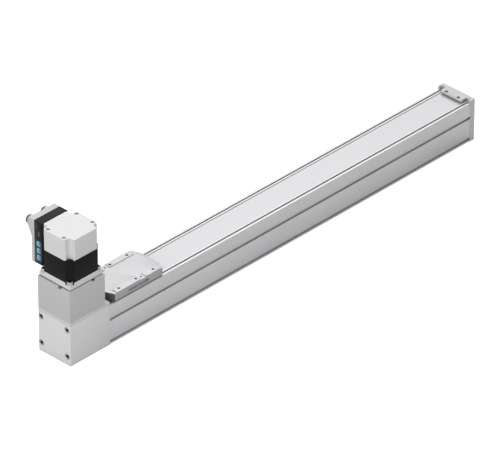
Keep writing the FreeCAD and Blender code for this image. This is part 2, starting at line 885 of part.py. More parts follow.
def slide_plate():
    body = new_body("table_blank")
    roof = "slide_top - wiper_roof"
    pad(body, "XY_Plane", "slide_bottom", f"{roof} - slide_bottom",
        [nose_outline("wiper_thickness", "nose_length + wiper_sliver - wiper_thickness")])
    pad(body, "XY_Plane", roof, "wiper_roof", [nose_outline("0", "nose_length")])
    inner = "half_width - slide_rail_width"
    pocket(body, "XY_Plane", "slide_top", "slide_rail_height",
           [rectangle("-slide_length", "slide_length", f"-({inner})", inner)])
    for side in ("1", "-1"):
        end = f"{side} * slide_rail_length / 2"
        pocket(body, "XY_Plane", "slide_top", "slide_rail_height",
               [rectangle(end, f"{side} * slide_length", "-half_width", "half_width")])
        pad_start = f"-{side} * (pin_hole_offset - pin_pad_length / 2)"
        pad_end = f"-{side} * (pin_hole_offset + pin_pad_length / 2)"
        pocket(body, "XY_Plane", "slide_top", "slide_rail_height",
               [rectangle(pad_start, pad_end, f"{side} * ({inner})", f"{side} * half_width")])
    half = [("web_inner", "slide_bottom"), ("web_inner", "tongue_top"),
            ("wing_half - tongue_width", "tongue_top"), ("wing_half - tongue_width", "wing_top"),
            ("wing_half", "wing_top"), ("wing_half", "slide_bottom")]
    for side in ("1", "-1"):
        leg = [(f"{side} * ({y})", z) for y, z in half]
        pad(body, "YZ_Plane", "-carriage_length / 2", "carriage_length", [leg])
    side = "table_hole_width / 2"
    threads = [(x, y, "table_hole_radius") for x in ("-table_hole_pitch", "0",
                                                     "table_hole_pitch") for y in both(side)]
    pocket(body, "XY_Plane", "slide_top", "table_hole_depth", circles=threads)
    pins = [("pin_hole_offset", f"-({side})", "pin_hole_radius"),
            ("-pin_hole_offset", side, "pin_hole_radius")]
    pocket(body, "XY_Plane", "slide_top - slide_rail_height", "pin_hole_depth", circles=pins)
    taps = [(x, y, "screw3_radius + tap_gap") for x, y in four("table_hole_along", "table_hole_side")]
    pocket(body, "XY_Plane", "wing_top", "tongue_thickness", circles=taps, ahead=True)
    place(body, x="carriage_x")
    grips = []
    for side, turn in (("near", TO_NEAR_SIDE), ("far", TO_FAR_SIDE)):
        grips += grip_recess(side, turn)
    tools = doc.addObject("Part::MultiFuse", "grip_recesses")
    tools.Shapes = grips
    whole = doc.addObject("Part::Cut", "slide_plate")
    whole.Base = body
    whole.Tool = tools
    keep(whole, "slide_plate")


def grip_recess(side, turn):
    """A long recess with round ends in one side of the table, as three overlapping tools."""
    sign = "-1" if side == "near" else "1"
    seat = f"{sign} * (half_width - grip_depth)"
    reach = "grip_length / 2 - grip_height / 2"
    ends = [cylinder(f"grip_{side}_{i}", "grip_height / 2", "2 * grip_depth", f"carriage_x + {x}", seat,
                     "grip_level", turn) for i, x in enumerate(both(reach), 1)]
    deep = f"{sign} * (half_width - grip_depth - grip_hole_depth)"
    ends += [cylinder(f"grip_hole_{side}_{i}", "grip_hole_radius", "grip_hole_depth + 1", f"carriage_x + {x}",
                      deep,
                      "grip_level", turn) for i, x in enumerate(both(reach), 1)]
    low = f"{sign} * half_width - grip_depth"
    middle = block(f"grip_{side}_middle", f"carriage_x - ({reach})", f"carriage_x + {reach}", low,
                   f"{sign} * half_width + grip_depth", "grip_level - grip_height / 2",
                   "grip_level + grip_height / 2")
    return ends + [middle]


def slide_wipers():
    """Plastic end pieces and side lips that close the table down to the cover and the profile."""
    members = []
    reach = "slide_length / 2 - nose_length - wiper_sliver"
    outer = "half_width - lip_inset"
    for side in ("1", "-1"):
        edges = (f"{side} * ({outer})", f"{side} * ({outer} - lip_thickness)")
        near, far = edges if side == "-1" else edges[::-1]
        members.append(block(f"side_lip_{len(members) + 1}", f"carriage_x - ({reach})",
                             f"carriage_x + {reach}",
                             near, far, "wiper_bottom", "slide_bottom"))
    for name, turn in (("back", 0), ("front", 180)):
        flat = "half_width - nose_side"
        edge = "half_width - wiper_inset"
        part = "(nose_side - wiper_inset) / nose_side"
        outer = "-slide_length / 2 + wiper_inset"
        inner = "-slide_length / 2 + wiper_thickness"
        outer_side = f"{outer} + nose_length * {part}"
        inner_side = f"{inner} + (nose_length + wiper_sliver - wiper_thickness) * {part}"
        outline = [(outer, f"-({flat})"), (outer_side, f"-({edge})"), (inner_side, f"-({edge})"),
                   (inner, f"-({flat})"), (inner, flat), (inner_side, edge), (outer_side, edge),
                   (outer, flat)]
        body = new_body(f"wiper_{name}")
        pad(body, "XY_Plane", "wiper_bottom", "slide_top - wiper_roof - wiper_bottom", [outline])
        members.append(place(body, x="carriage_x", turn=FreeCAD.Rotation(FreeCAD.Vector(0, 0, 1), turn)))
    compound("slide_wipers", members)


def table_screws():
    screw = hidden_screw("table_screw", 3, "wing_thickness + tongue_thickness - 0.6")
    spots = [(f"carriage_x + {x}", y, "wing_bottom") for x, y in four("table_hole_along", "table_hole_side")]
    copies("table_screws", screw, spots, DOWN)


# The toothed belt and its clamp on the carriage

def clamp_screw_levels():
    return ["belt_middle - clamp_screw_rise", "belt_middle + clamp_screw_rise"]


def tooth_corners(place_on, across):
    """Four corners of one belt tooth, where place_on(offset, depth) gives a point of the belt."""
    root = number("tooth_root") / 2
    tip = number("tooth_tip") / 2
    height = number("tooth_height")
    return [place_on(-root, 0), place_on(-tip, height), place_on(tip, height), place_on(root, 0)][::across]


def belt_inside():
    """The toothed inner side of the belt, from one end at the clamp round to the other."""
    pitch = number("belt_pitch")
    land = number("land_radius")
    far = number("idler_x")
    middle = number("carriage_x")
    half_turn = int(number("pulley_teeth")) // 2
    strand = int(round(far / pitch - 0.25))
    turn = 2 * math.pi / number("pulley_teeth")
    points = []

    def on_near(x):
        return lambda offset, depth: FreeCAD.Vector(x + offset, -land + depth, 0)

    def on_far(x):
        return lambda offset, depth: FreeCAD.Vector(x - offset, land - depth, 0)

    def on_arc(centre, angle):
        def at(offset, depth):
            reach = land if depth == 0 else land - depth
            spread = math.asin(offset / reach)
            return FreeCAD.Vector(centre + reach * math.cos(angle + spread), reach * math.sin(angle + spread),
                                  0)
        return at

    first = int(round(middle / pitch)) + 1
    lead = FreeCAD.Vector(middle + pitch / 2, -land, 0)
    points.append(lead)
    for i in range(first, strand + 1):
        points += tooth_corners(on_near(i * pitch), 1)
    left_over = (far - strand * pitch) / pitch
    step = 1 - left_over
    arc_teeth = int(round(half_turn - 2 * step)) + 1
    for i in range(arc_teeth):
        points += tooth_corners(on_arc(far, -math.pi / 2 + (step + i) * turn), 1)
    for i in range(strand, 0, -1):
        points += tooth_corners(on_far(i * pitch), 1)
    for i in range(half_turn + 1):
        points += tooth_corners(on_arc(0, math.pi / 2 + i * turn), 1)
    for i in range(1, first - 1):
        points += tooth_corners(on_near(i * pitch), 1)
    points.append(FreeCAD.Vector(middle - pitch / 2, -land, 0))
    return points


def toothed_belt():
    back = number("back_radius")
    far = number("idler_x")
    inside = belt_inside()
    edges = [Part.LineSegment(a, b).toShape() for a, b in zip(inside, inside[1:])]
    start = inside[0]
    end = inside[-1]
    ahead = FreeCAD.Vector(start.x, -back, 0)
    behind = FreeCAD.Vector(end.x, -back, 0)
    far_near = FreeCAD.Vector(far, -back, 0)
    far_top = FreeCAD.Vector(far, back, 0)
    near_top = FreeCAD.Vector(0, back, 0)
    near_near = FreeCAD.Vector(0, -back, 0)
    edges.append(Part.LineSegment(end, behind).toShape())
    edges.append(Part.LineSegment(behind, near_near).toShape())
    edges.append(Part.Arc(near_near, FreeCAD.Vector(-back, 0, 0), near_top).toShape())
    edges.append(Part.LineSegment(near_top, far_top).toShape())
    edges.append(Part.Arc(far_top, FreeCAD.Vector(far + back, 0, 0), far_near).toShape())
    edges.append(Part.LineSegment(far_near, ahead).toShape())
    edges.append(Part.LineSegment(ahead, start).toShape())
    face = Part.Face(Part.Wire(edges))
    belt = doc.addObject("Part::Feature", "toothed_belt")
    belt.Shape = face.extrude(FreeCAD.Vector(0, 0, number("belt_width")))
    keep(place(belt, z="belt_bottom"), "toothed_belt")


def clamp_ribs():
    """Outline of the inner clamp plate: its ribs fill the gaps between the belt's teeth."""
    half_pitches = int(number("clamp_length / belt_pitch / 2"))
    base = "-pillar_width / 2"
    valley = "-(tip_radius - mesh_gap)"
    crest = "-(land_radius - mesh_gap)"
    end = f"{half_pitches} * belt_pitch"
    outline = [(f"-({end})", base)]
    for i in range(-half_pitches, half_pitches):
        middle = f"({i} + 0.5) * belt_pitch"
        low = "(belt_pitch - tooth_tip) / 2 - gap_widening / 2"
        high = "(belt_pitch - tooth_root) / 2 - gap_widening / 2"
        outline += [(f"{middle} - ({low})", valley), (f"{middle} - ({high})", crest),
                    (f"{middle} + {high}", crest), (f"{middle} + {low}", valley)]
    first = outline[1][1]
    outline.insert(1, (f"-({end})", first))
    outline += [(end, first), (end, base)]
    return outline


def belt_clamp():
    inner = new_body("clamp_ribbed")
    pad(inner, "XY_Plane", "belt_bottom", "belt_width", [clamp_ribs()])
    holes = [("0", z, "screw3_radius + hole_gap") for z in clamp_screw_levels()]
    pocket(inner, "XZ_Plane", "land_radius", "land_radius - pillar_width / 2", circles=holes)
    outer = new_body("clamp_plate")
    face = "-(back_radius + seat_gap)"
    pad(outer, "XY_Plane", "belt_bottom", "belt_width",
        [rectangle("-clamp_length / 2", "clamp_length / 2", f"{face} - clamp_thickness", face)])
    pocket(outer, "XZ_Plane", "back_radius + clamp_thickness + 1", "clamp_thickness + 2", circles=holes)
    compound("belt_clamp", [place(inner, x="carriage_x"), place(outer, x="carriage_x")])


def belt_clamp_screws():
    seat = "-(back_radius + seat_gap + clamp_thickness)"
    screw = hidden_screw("belt_clamp_screw", 3, "10")
    spots = [("carriage_x", seat, z) for z in clamp_screw_levels()]
    copies("belt_clamp_screws", screw, spots, TO_NEAR_SIDE)


# Pulleys

def pulley_teeth_on(body):
    """Cuts one gap for a belt tooth and repeats it round the pulley."""
    doc.recompute()
    half_top = "(tooth_root + gap_widening) / 2"
    half_foot = "(tooth_tip + gap_widening) / 2"
    foot = "pulley_radius - tooth_height - gap_deepening"
    gap = [(f"-({half_top})", "pulley_radius + 0.5"), (f"-({half_top})", "pulley_radius - 0.1"),
           (f"-({half_foot})", foot), (half_foot, foot), (half_top, "pulley_radius - 0.1"),
           (half_top, "pulley_radius + 0.5")]
    cut = pocket(body, "XY_Plane", "belt_top", "belt_width", [gap])
    pattern = body.newObject("PartDesign::PolarPattern", "teeth")
    pattern.Originals = [cut]
    axis = next(f for f in body.Origin.OriginFeatures if f.Role == "Z_Axis")
    pattern.Axis = (axis, [""])
    pattern.Angle = 360
    bind(pattern, "Occurrences", "pulley_teeth")
    body.Tip = pattern
    doc.recompute()


def pulley_outline(bore):
    return [(bore, "pulley_bottom"), ("rim_radius", "pulley_bottom"), ("rim_radius", "belt_bottom - 0.1"),
            ("pulley_radius", "belt_bottom - 0.1"), ("pulley_radius", "belt_top + 0.1"),
            ("rim_radius", "belt_top + 0.1"), ("rim_radius", "pulley_top"), (bore, "pulley_top")]


def drive_pulley():
    body = revolve("drive_pulley", pulley_outline("shaft_seat_radius + bore_gap"))
    pulley_teeth_on(body)
    keep(place(body), "drive_pulley")


def idler_pulley():
    """The idler's bore has a shoulder between its two bearings."""
    seat = "idler_bearing_radius"
    low = "pulley_bottom + idler_bearing_height + 0.4"
    high = "pulley_top - idler_bearing_height - 0.4"
    rim = pulley_outline(seat)
    body = revolve("idler_pulley", rim + [(seat, high), ("idler_shoulder", high), ("idler_shoulder", low),
                                          (seat, low)])
    pulley_teeth_on(body)
    half_tooth = FreeCAD.Rotation(FreeCAD.Vector(0, 0, 1), idler_phase())
    keep(place(body, x="idler_x", turn=half_tooth), "idler_pulley")


def idler_phase():
    """The idler's turn, in degrees, that sets its gaps on the belt's teeth."""
    pitches = number("idler_x / belt_pitch")
    return (math.floor(pitches) + 1 - pitches) * 360 / number("pulley_teeth")


def idler_bearings():
    source = ring("idler_bearing", "axle_radius + spin_gap", "idler_bearing_radius - bore_gap",
                  "0", "idler_bearing_height")
    copies("idler_bearings", source, [("idler_x", "0", "pulley_bottom + 0.4"),
                                      ("idler_x", "0", "pulley_top - 0.4 - idler_bearing_height")])


# The idler's bracket in the end cap

def idler_bracket():
    """A fork: two arms either side of the pulley, on a web that sits in the end cap."""
    body = new_body("idler_bracket")
    wide = "bracket_web_width / 2"
    pad(body, "YZ_Plane", "bracket_back", "bracket_web",
        [rectangle(f"-{wide}", wide, "bracket_low", "bracket_high")])
    arm = "bracket_arm_width / 2"
    outline = [("idler_x", f"-{arm}"), ("bracket_back", f"-{arm}"), ("bracket_back", arm), ("idler_x", arm)]
    for low, high in (("bracket_low", "arm_low_top"), ("arm_high_bottom", "bracket_high")):
        pad(body, "XY_Plane", low, f"{high} - {low}", [outline])
        pad(body, "XY_Plane", low, f"{high} - {low}", circles=[("idler_x", "0", arm)])
    pocket(body, "XY_Plane", "bracket_high", "bracket_high - bracket_low",
           circles=[("idler_x", "0", "axle_radius + bore_gap")])
    taps = [("0", z, "screw4_radius + tap_gap") for z in ("tension_screw_low", "tension_screw_high")]
    pocket(body, "YZ_Plane", "bracket_back + bracket_web", "bracket_web", circles=taps)
    keep(place(body), "idler_bracket")


def idler_axle():
    axle = revolve("idler_axle", [("0", "bracket_low"), ("axle_radius", "bracket_low"),
                                  ("axle_radius", "bracket_high"), ("axle_head_radius", "bracket_high"),
                                  ("axle_head_radius", "bracket_high + axle_head_height"),
                                  ("0", "bracket_high + axle_head_height")])
    keep(place(axle, x="idler_x"), "idler_axle")


def tension_screws():
    seat = "cap_end - screw4_head_height - head_gap"
    screw = hidden_screw("tension_screw", 4, f"{seat} - bracket_back - 0.5")
    copies("tension_screws", screw, [(seat, "0", z) for z in ("tension_screw_low", "tension_screw_high")],
           TO_FAR)


def end_cap():
    """The far end: a plate with a tab over the cover strip and notches at the profile's slots."""
    body = new_body("end_cap")
    cap = rectangle("-half_width", "half_width", "0", "cap_height")
    pad(body, "YZ_Plane", "profile_end", "cap_thickness", [cap])
    tab = "tab_width / 2"
    pad(body, "YZ_Plane", "profile_end - tab_reach", "tab_reach + 1",
        [rectangle(f"-{tab}", tab, "tab_bottom", "cap_height")])
    inner = f"{tab} + notch_width"
    for side in ("1", "-1"):
        notch = rectangle(f"{side} * {tab}", f"{side} * ({inner})", "notch_bottom", "cap_height")
        pocket(body, "YZ_Plane", "profile_end", "notch_length", [notch], ahead=True)
    slot = "cover_width / 2 + seat_gap"
    pocket(body, "YZ_Plane", "profile_end", "cover_into_cap + 0.2",
           [rectangle(f"-({slot})", slot, "cover_bottom - 0.1", "tab_bottom")], ahead=True)
    wide = "bracket_web_width / 2 + 0.2"
    pocket(body, "YZ_Plane", "profile_end", "web_pocket_depth",
           [rectangle(f"-({wide})", wide, "bracket_low - 0.2", "bracket_high + 0.2")], ahead=True)
    tension = [("0", z) for z in ("tension_screw_low", "tension_screw_high")]
    cap_holes(body, tension + [(y, z) for y in both("port_side") for z in ("port_low", "port_high")])
    clamps = [("profile_end - tab_reach / 2", y,
               "screw3_radius + hole_gap") for y in both("clamp_screw_side")]
    pocket(body, "XY_Plane", "cap_height", "cap_height - tab_bottom", circles=clamps)
    eyes = [("profile_end + eye_offset", z, "eye_radius") for z in ("slot_low", "slot_high")]
    pocket(body, "XZ_Plane", "half_width", "eye_depth", circles=eyes)
    pocket(body, "XZ_Plane", "-half_width", "eye_depth", circles=eyes, ahead=True)
    bevel(body, "edge_bevel", lambda edge: upright(edge) and edge.CenterOfMass.x > number("cap_end") - 1e-4)
    keep(place(body), "end_cap")


def cap_holes(body, spots):
    """Through holes with counterbores from the outer face, for size 4 cap screws."""
    holes = [(y, z, "screw4_radius + hole_gap") for y, z in spots]
    sinks = [(y, z, "screw4_head + head_gap") for y, z in spots]
    pocket(body, "YZ_Plane", "cap_end", "cap_thickness", circles=holes)
    pocket(body, "YZ_Plane", "cap_end", "screw4_head_height + head_gap", circles=sinks)


def end_cap_screws():
    seat = "cap_end - screw4_head_height - head_gap"
    screw = cap_screw("end_cap_screw", 4, "16")
    spots = [(seat, y, z) for y in both("port_side") for z in ("port_low", "port_high")]
    copies("end_cap_screws", screw, spots, TO_FAR)


def strip_clamps():
    """Thin bars that press the strip's ends onto the cover plate."""
    wide = "clamp_half_width"
    top = "cover_top + strip_clamp_height"
    far = block("strip_clamp_far", "profile_end + cover_into_cap - strip_clamp_length",
                "profile_end + cover_into_cap", f"-{wide}", wide, "strip_top", top)
    near_end = "housing_front - cover_into_adapter"
    near = block("strip_clamp_near", near_end, f"{near_end} + near_clamp_length", f"-{wide}", wide,
                 "strip_top", top)
    compound("strip_clamps", [far, near])


def strip_clamp_screws():
    """Two screws through the end cap's tab and two through the housing's step."""
    foot = "cover_top + strip_clamp_height"
    long = revolve("housing_strip_screw", [("0", foot), ("screw3_radius", foot), ("screw3_radius",
                                                                                  "housing_height - 1.9"),
                                           ("screw3_head", "housing_height - 1.9"),
                                           ("screw3_head", "housing_height"),
                                           ("0", "housing_height")])
    short = revolve("tab_strip_screw", [("0", foot), ("screw3_radius", foot), ("screw3_radius", "cap_height"),
                                        ("0", "cap_height")])
    members = [link(f"tab_strip_screw_{i}", short, x="profile_end - tab_reach / 2", y=y)
               for i, y in enumerate(both("clamp_screw_side"), 1)]
    members += [link(f"housing_strip_screw_{i}", long, x="strip_screw_near", y=y)
                for i, y in enumerate(both("clamp_screw_side"), 1)]
    compound("strip_clamp_screws", members)


def end_buffers():
    """Rubber stops for the bearing blocks, two at each end of the rail."""
    reach = "block_shift + block_length / 2 + buffer_gap"
    near = cylinder("buffer_near", "buffer_radius", f"carriage_x - ({reach}) - housing_front", turn=TO_FAR)
    far = cylinder("buffer_far", "buffer_radius", f"profile_end - carriage_x - travel - ({reach})",
                   turn=TO_BACK)
    members = []
    for source, x, turn in ((near, "housing_front", TO_FAR), (far, "profile_end", TO_BACK)):
        for i, y in enumerate(both("buffer_side"), 1):
            members.append(link(f"{source.Name}_{i}", source, x=x, y=y, z="buffer_level", turn=turn))
    compound("end_buffers", members)


# The drive housing

def drive_housing():
    body = new_body("drive_housing")
    base = rectangle("-housing_back", "housing_front", "-half_width", "half_width")
    pad(body, "XY_Plane", "0", "housing_height", [base])
    bevel(body, "edge_bevel", lambda edge: upright(edge) and edge.CenterOfMass.x < 0)
    pocket(body, "XY_Plane", "housing_height", "housing_height - chamber_floor",
           circles=[("0", "0", "chamber_radius")])
    pocket(body, "XY_Plane", "housing_height", "carrier_height",
           circles=[("0", "0", "carrier_radius + seat_gap")])
    pocket(body, "XY_Plane", "chamber_floor", "chamber_floor - bearing_low",
           circles=[("0", "0", "bearing_radius + bore_gap")])
    pocket(body, "XY_Plane", "bearing_low", "relief_depth", circles=[("0", "0", "relief_radius")])
    taps = [(x, y, "screw4_radius + tap_gap") for x, y in coupling_screw_spots()]
    pocket(body, "XY_Plane", "housing_height", "coupling_tap_depth", circles=taps)
    tunnel = "tunnel_width / 2"
    pocket(body, "YZ_Plane", "housing_front", "housing_front",
           [rectangle(f"-{tunnel}", tunnel, "tunnel_low", "tunnel_high")])
    wide = "adapter_width / 2 + adapter_gap"
    pocket(body, "YZ_Plane", "housing_front", "adapter_thickness",
           [rectangle(f"-({wide})", wide, "adapter_low - adapter_gap", "adapter_high + adapter_gap")])
    holes = [(y, z, "screw5_radius + hole_gap") for y, z in long_screw_spots()]
    sinks = [(y, z, "screw5_head + head_gap") for y, z in long_screw_spots()]
    pocket(body, "YZ_Plane", "-housing_back", "housing_back + adapter_back", circles=holes, ahead=True)
    pocket(body, "YZ_Plane", "-housing_back", "screw5_head_height + long_screw_sink", circles=sinks,
           ahead=True)
    strip = [("strip_screw_near", y, "screw3_radius + hole_gap") for y in both("clamp_screw_side")]
    sunk = [("strip_screw_near", y, "screw3_head + head_gap") for y in both("clamp_screw_side")]
    pocket(body, "XY_Plane", "housing_height", "housing_height - adapter_high", circles=strip)
    pocket(body, "XY_Plane", "housing_height", "screw3_head_height", circles=sunk)
    keep(place(body), "drive_housing")


def long_screw_spots():
    return [(y, z) for y in both("long_screw_side") for z in ("long_screw_low", "long_screw_high")]


def coupling_screw_spots():
    return [(x, "0") for x in both("coupling_screw_x")] + [("0", y) for y in both("coupling_screw_y")]


def drive_housing_screws():
    seat = "-housing_back + screw5_head_height + long_screw_sink"
    screw = cap_screw("drive_housing_screw", 5, f"housing_front - ({seat}) - 1")
    copies("drive_housing_screws", screw, [(seat, y, z) for y, z in long_screw_spots()], TO_BACK)


def profile_adapter():
    """The plate between housing and profile: it takes the long screws and holds the cover's end."""
    body = new_body("profile_adapter")
    wide = "adapter_width / 2"
    plate = rectangle(f"-{wide}", wide, "adapter_low", "adapter_high")
    pad(body, "YZ_Plane", "adapter_back", "adapter_thickness", [plate])
    tunnel = "tunnel_width / 2"
    pocket(body, "YZ_Plane", "housing_front", "adapter_thickness",
           [rectangle(f"-{tunnel}", tunnel, "tunnel_low", "tunnel_high")])
    slot = "cover_width / 2 + seat_gap"
    pocket(body, "YZ_Plane", "housing_front", "cover_into_adapter",
           [rectangle(f"-({slot})", slot, "cover_bottom", "cover_top + strip_clamp_height")])
    taps = [(y, z, "screw5_radius + tap_gap") for y, z in long_screw_spots()]
    pocket(body, "YZ_Plane", "housing_front", "adapter_thickness", circles=taps)
    ports = [(y, z) for y in both("port_side") for z in ("port_low", "port_high")]
    pocket(body, "YZ_Plane", "housing_front", "adapter_thickness",
           circles=[(y, z, "screw4_radius + hole_gap") for y, z in ports])
    pocket(body, "YZ_Plane", "adapter_back", "screw4_head_height + head_gap",
           circles=[(y, z, "screw4_head + 0.1") for y, z in ports], ahead=True)
    pocket(body, "XY_Plane", "adapter_high", "adapter_high - cover_top",
           circles=[("strip_screw_near", y, "screw3_radius + tap_gap") for y in both("clamp_screw_side")])
    keep(place(body), "profile_adapter")


def adapter_screws():
    seat = "adapter_back + screw4_head_height + head_gap"
    screw = hidden_screw("adapter_screw", 4, "12")
    spots = [(seat, y, z) for y in both("port_side") for z in ("port_low", "port_high")]
    copies("adapter_screws", screw, spots, TO_BACK)


def shaft_bearings():
    source = ring("shaft_bearing", "shaft_radius + spin_gap", "bearing_radius", "0", "bearing_height")
    copies("shaft_bearings", source, [("0", "0", "bearing_low"), ("0", "0", "carrier_bottom")])


def bearing_carrier():
    seat = "bearing_radius + bore_gap"
    shoulder = "carrier_bottom + bearing_height"
    outline = [(seat, "carrier_bottom"), ("carrier_radius", "carrier_bottom"),
               ("carrier_radius", "housing_height"),
               ("carrier_mouth", "housing_height"), ("carrier_mouth", shoulder), (seat, shoulder)]
    keep(place(revolve("bearing_carrier", outline)), "bearing_carrier")


def drive_shaft():
    """Steps: foot in the lower bearing, wider seat for the pulley, neck through the upper bearing."""
    low = "bearing_low + bearing_height + shaft_shoulder_gap"
    high = "carrier_bottom - shaft_shoulder_gap"
    outline = [("0", "bearing_low - shaft_foot"), ("shaft_radius", "bearing_low - shaft_foot"),
               ("shaft_radius", low),
               ("shaft_seat_radius", low), ("shaft_seat_radius", high), ("shaft_radius", high),
               ("shaft_radius", "shaft_top"), ("0", "shaft_top")]
    keep(place(revolve("drive_shaft", outline)), "drive_shaft")


# The coupling and its housing

def coupling_housing():
    body = new_body("coupling_housing")
    rise = "coupling_top - housing_height"
    base = rectangle("-coupling_half_length", "coupling_half_length", "-half_width", "half_width")
    pad(body, "XY_Plane", "housing_height", rise, [base])
    bevel(body, "edge_bevel", outer_upright("coupling_half_length", "half_width"))
    pocket(body, "XY_Plane", "coupling_top", rise, circles=[("0", "0", "coupling_bore")])
    holes = [(x, y, "screw4_radius + hole_gap") for x, y in coupling_screw_spots()]
    sinks = [(x, y, "screw4_head + head_gap") for x, y in coupling_screw_spots()]
    pocket(body, "XY_Plane", "coupling_top", rise, circles=holes)
    pocket(body, "XY_Plane", "coupling_top", "coupling_top - coupling_screw_level", circles=sinks)
    taps = [(x, y, "screw5_radius + tap_gap") for x, y in four("motor_hole_x", "motor_hole_y")]
    pocket(body, "XY_Plane", "coupling_top", "motor_tap_depth", circles=taps)
    half = "vent_width / 2"
    back = rectangle("-coupling_half_length", "-coupling_half_length + vent_depth",
                     f"-vent_offset - {half}", f"-vent_offset + {half}")
    near = rectangle(f"vent_offset - {half}", f"vent_offset + {half}", "-half_width",
                     "-half_width + vent_depth")
    pocket(body, "XY_Plane", "coupling_top", "vent_height", [back, near])
    keep(place(body), "coupling_housing")


def coupling_housing_screws():
    screw = hidden_screw("coupling_housing_screw", 4, "coupling_screw_level - housing_height + 6")
    spots = [(x, y, "coupling_screw_level") for x, y in coupling_screw_spots()]
    copies("coupling_housing_screws", screw, spots)


def jaw_outline(middle):
    """One jaw: a sector between the spider's arms, its round side as four chords."""
    half = number("jaw_angle") / 2
    angles = [middle - half + i * half / 2 for i in range(5)]
    rim = [(f"(hub_radius - 0.1) * {math.cos(math.radians(a))}",
            f"(hub_radius - 0.1) * {math.sin(math.radians(a))}")
           for a in angles]
    root = [(f"jaw_inner * {math.cos(math.radians(a))}", f"jaw_inner * {math.sin(math.radians(a))}")
            for a in (angles[-1], angles[0])]
    return rim + root


def coupling_hubs():
    """Two like hubs, jaws facing each other and set half a jaw pitch apart."""
    body = revolve("coupling_hub", rectangle("shaft_radius + bore_gap", "hub_radius", "0", "hub_height"))
    pad(body, "XY_Plane", "hub_height", "jaw_height", [jaw_outline(a) for a in (0, 120, 240)])
    lower = place(body, z="hub_bottom")
    upper = revolve("coupling_hub_upper", rectangle("motor_shaft_radius + bore_gap", "hub_radius", "0",
                                                    "hub_height"))
    pad(upper, "XY_Plane", "hub_height", "jaw_height", [jaw_outline(a) for a in (60, 180, 300)])
    place(upper, z="hub_bottom + 2 * hub_height + jaw_height", turn=DOWN)
    compound("coupling_hubs", [lower, upper])


def coupling_spider():
    """Elastic star: a ring with six arms between the jaws."""
    body = new_body("coupling_spider")
    low = "hub_bottom + hub_height + spider_gap"
    rise = "jaw_height - 2 * spider_gap"
    pad(body, "XY_Plane", low, rise, circles=[("0", "0", "spider_ring")])
    for i in range(3):
        angle = math.radians(30 + 60 * i)
        along = (math.cos(angle), math.sin(angle))
        corners = [(f"{u} * spider_reach * {along[0]} - {v} * spider_arm / 2 * {along[1]}",
                    f"{u} * spider_reach * {along[1]} + {v} * spider_arm / 2 * {along[0]}")
                   for u, v in ((-1, -1), (1, -1), (1, 1), (-1, 1))]
        pad(body, "XY_Plane", low, rise, [corners])
    keep(place(body), "coupling_spider")


# The motor

def motor_block(inset="0"):
    return rectangle(f"-motor_half_x + {inset}", f"motor_half_x - {inset}", f"-motor_half_y + {inset}",
                     f"motor_half_y - {inset}")


def cut_corners(corner):
    """The motor's outline from above with its four corners cut off."""
    x = "motor_half_x"
    y = "motor_half_y"
    return [(f"-{x} + {corner}", f"-{y}"), (f"{x} - {corner}", f"-{y}"), (x, f"-{y} + {corner}"),
            (x, f"{y} - {corner}"), (f"{x} - {corner}", y), (f"-{x} + {corner}", y),
            (f"-{x}", f"{y} - {corner}"), (f"-{x}", f"-{y} + {corner}")]


def motor_flange():
    """Front plate with a pilot below, a seat for the front bearing and a pocket at each corner."""
    body = new_body("motor_flange")
    groove_top = "coupling_top + flange_groove"
    pad(body, "XY_Plane", "coupling_top", "flange_groove", [motor_block("flange_groove_depth")])
    pad(body, "XY_Plane", groove_top, f"flange_top - ({groove_top})", [motor_block()])
    pad(body, "XY_Plane", "coupling_top", "pilot_height", circles=[("0", "0", "pilot_radius")], back=True)
    pocket(body, "XY_Plane", "flange_top", "flange_top - coupling_top + pilot_height",
           circles=[("0", "0", "motor_shaft_radius + 1.5")])
    pocket(body, "XY_Plane", "flange_top", "motor_bearing_height + motor_bearing_lift",
           circles=[("0", "0", "motor_bearing_radius + bore_gap")])
    spots = four("motor_hole_x", "motor_hole_y")
    pocket(body, "XY_Plane", "flange_top", "flange_top - coupling_top",
           circles=[(x, y, "screw5_radius + hole_gap") for x, y in spots])
    pocket(body, "XY_Plane", "flange_top", "motor_pocket_depth",
           circles=[(x, y, "motor_pocket_radius") for x, y in spots])
    side = "motor_pocket_radius * 0.7071"
    for x, y in four("1", "1"):
        centre = (f"{x} * motor_hole_x", f"{y} * motor_hole_y")
        corner = [(f"{centre[0]} + {x} * {u} * {side}", f"{centre[1]} + {y} * {v} * {side}")
                  for u, v in ((-1, 1), (1, -1), (4, 2), (2, 4))]
        pocket(body, "XY_Plane", "flange_top", "motor_pocket_depth", [corner])
    keep(place(body), "motor_flange")


def motor_screws():
    screw = cap_screw("motor_screw", 5, "motor_screw_length")
    spots = [(x, y, "flange_top - motor_pocket_depth") for x, y in four("motor_hole_x", "motor_hole_y")]
    copies("motor_screws", screw, spots)


def motor_casing():
    body = new_body("motor_casing")
    pad(body, "XY_Plane", "flange_top", "casing_top - flange_top", [cut_corners("casing_corner")])
    pocket(body, "XY_Plane", "flange_top", "casing_top - flange_top - casing_roof",
           circles=[("0", "0", "casing_bore")], ahead=True)
    pocket(body, "XY_Plane", "casing_top - casing_roof", "motor_bearing_height",
           circles=[("0", "0", "motor_bearing_radius + bore_gap")], ahead=True)
    pocket(body, "XY_Plane", "casing_top", "casing_roof", circles=[("0", "0", "motor_shaft_radius + 1.5")])
    reliefs = [(x, y, "screw5_head + head_gap") for x, y in four("motor_hole_x", "motor_hole_y")]
    pocket(body, "XY_Plane", "flange_top", "screw5_head_height - motor_pocket_depth + 2 * head_gap",
           circles=reliefs, ahead=True)
    taps = [(x, y, "screw3_radius + tap_gap") for x, y in four("cover_screw_x", "cover_screw_y")]
    pocket(body, "XY_Plane", "casing_top",
           "cover_screw_sink + cover_screw_length - (motor_top - casing_top) + 1",
           circles=taps)
    keep(place(body), "motor_casing")


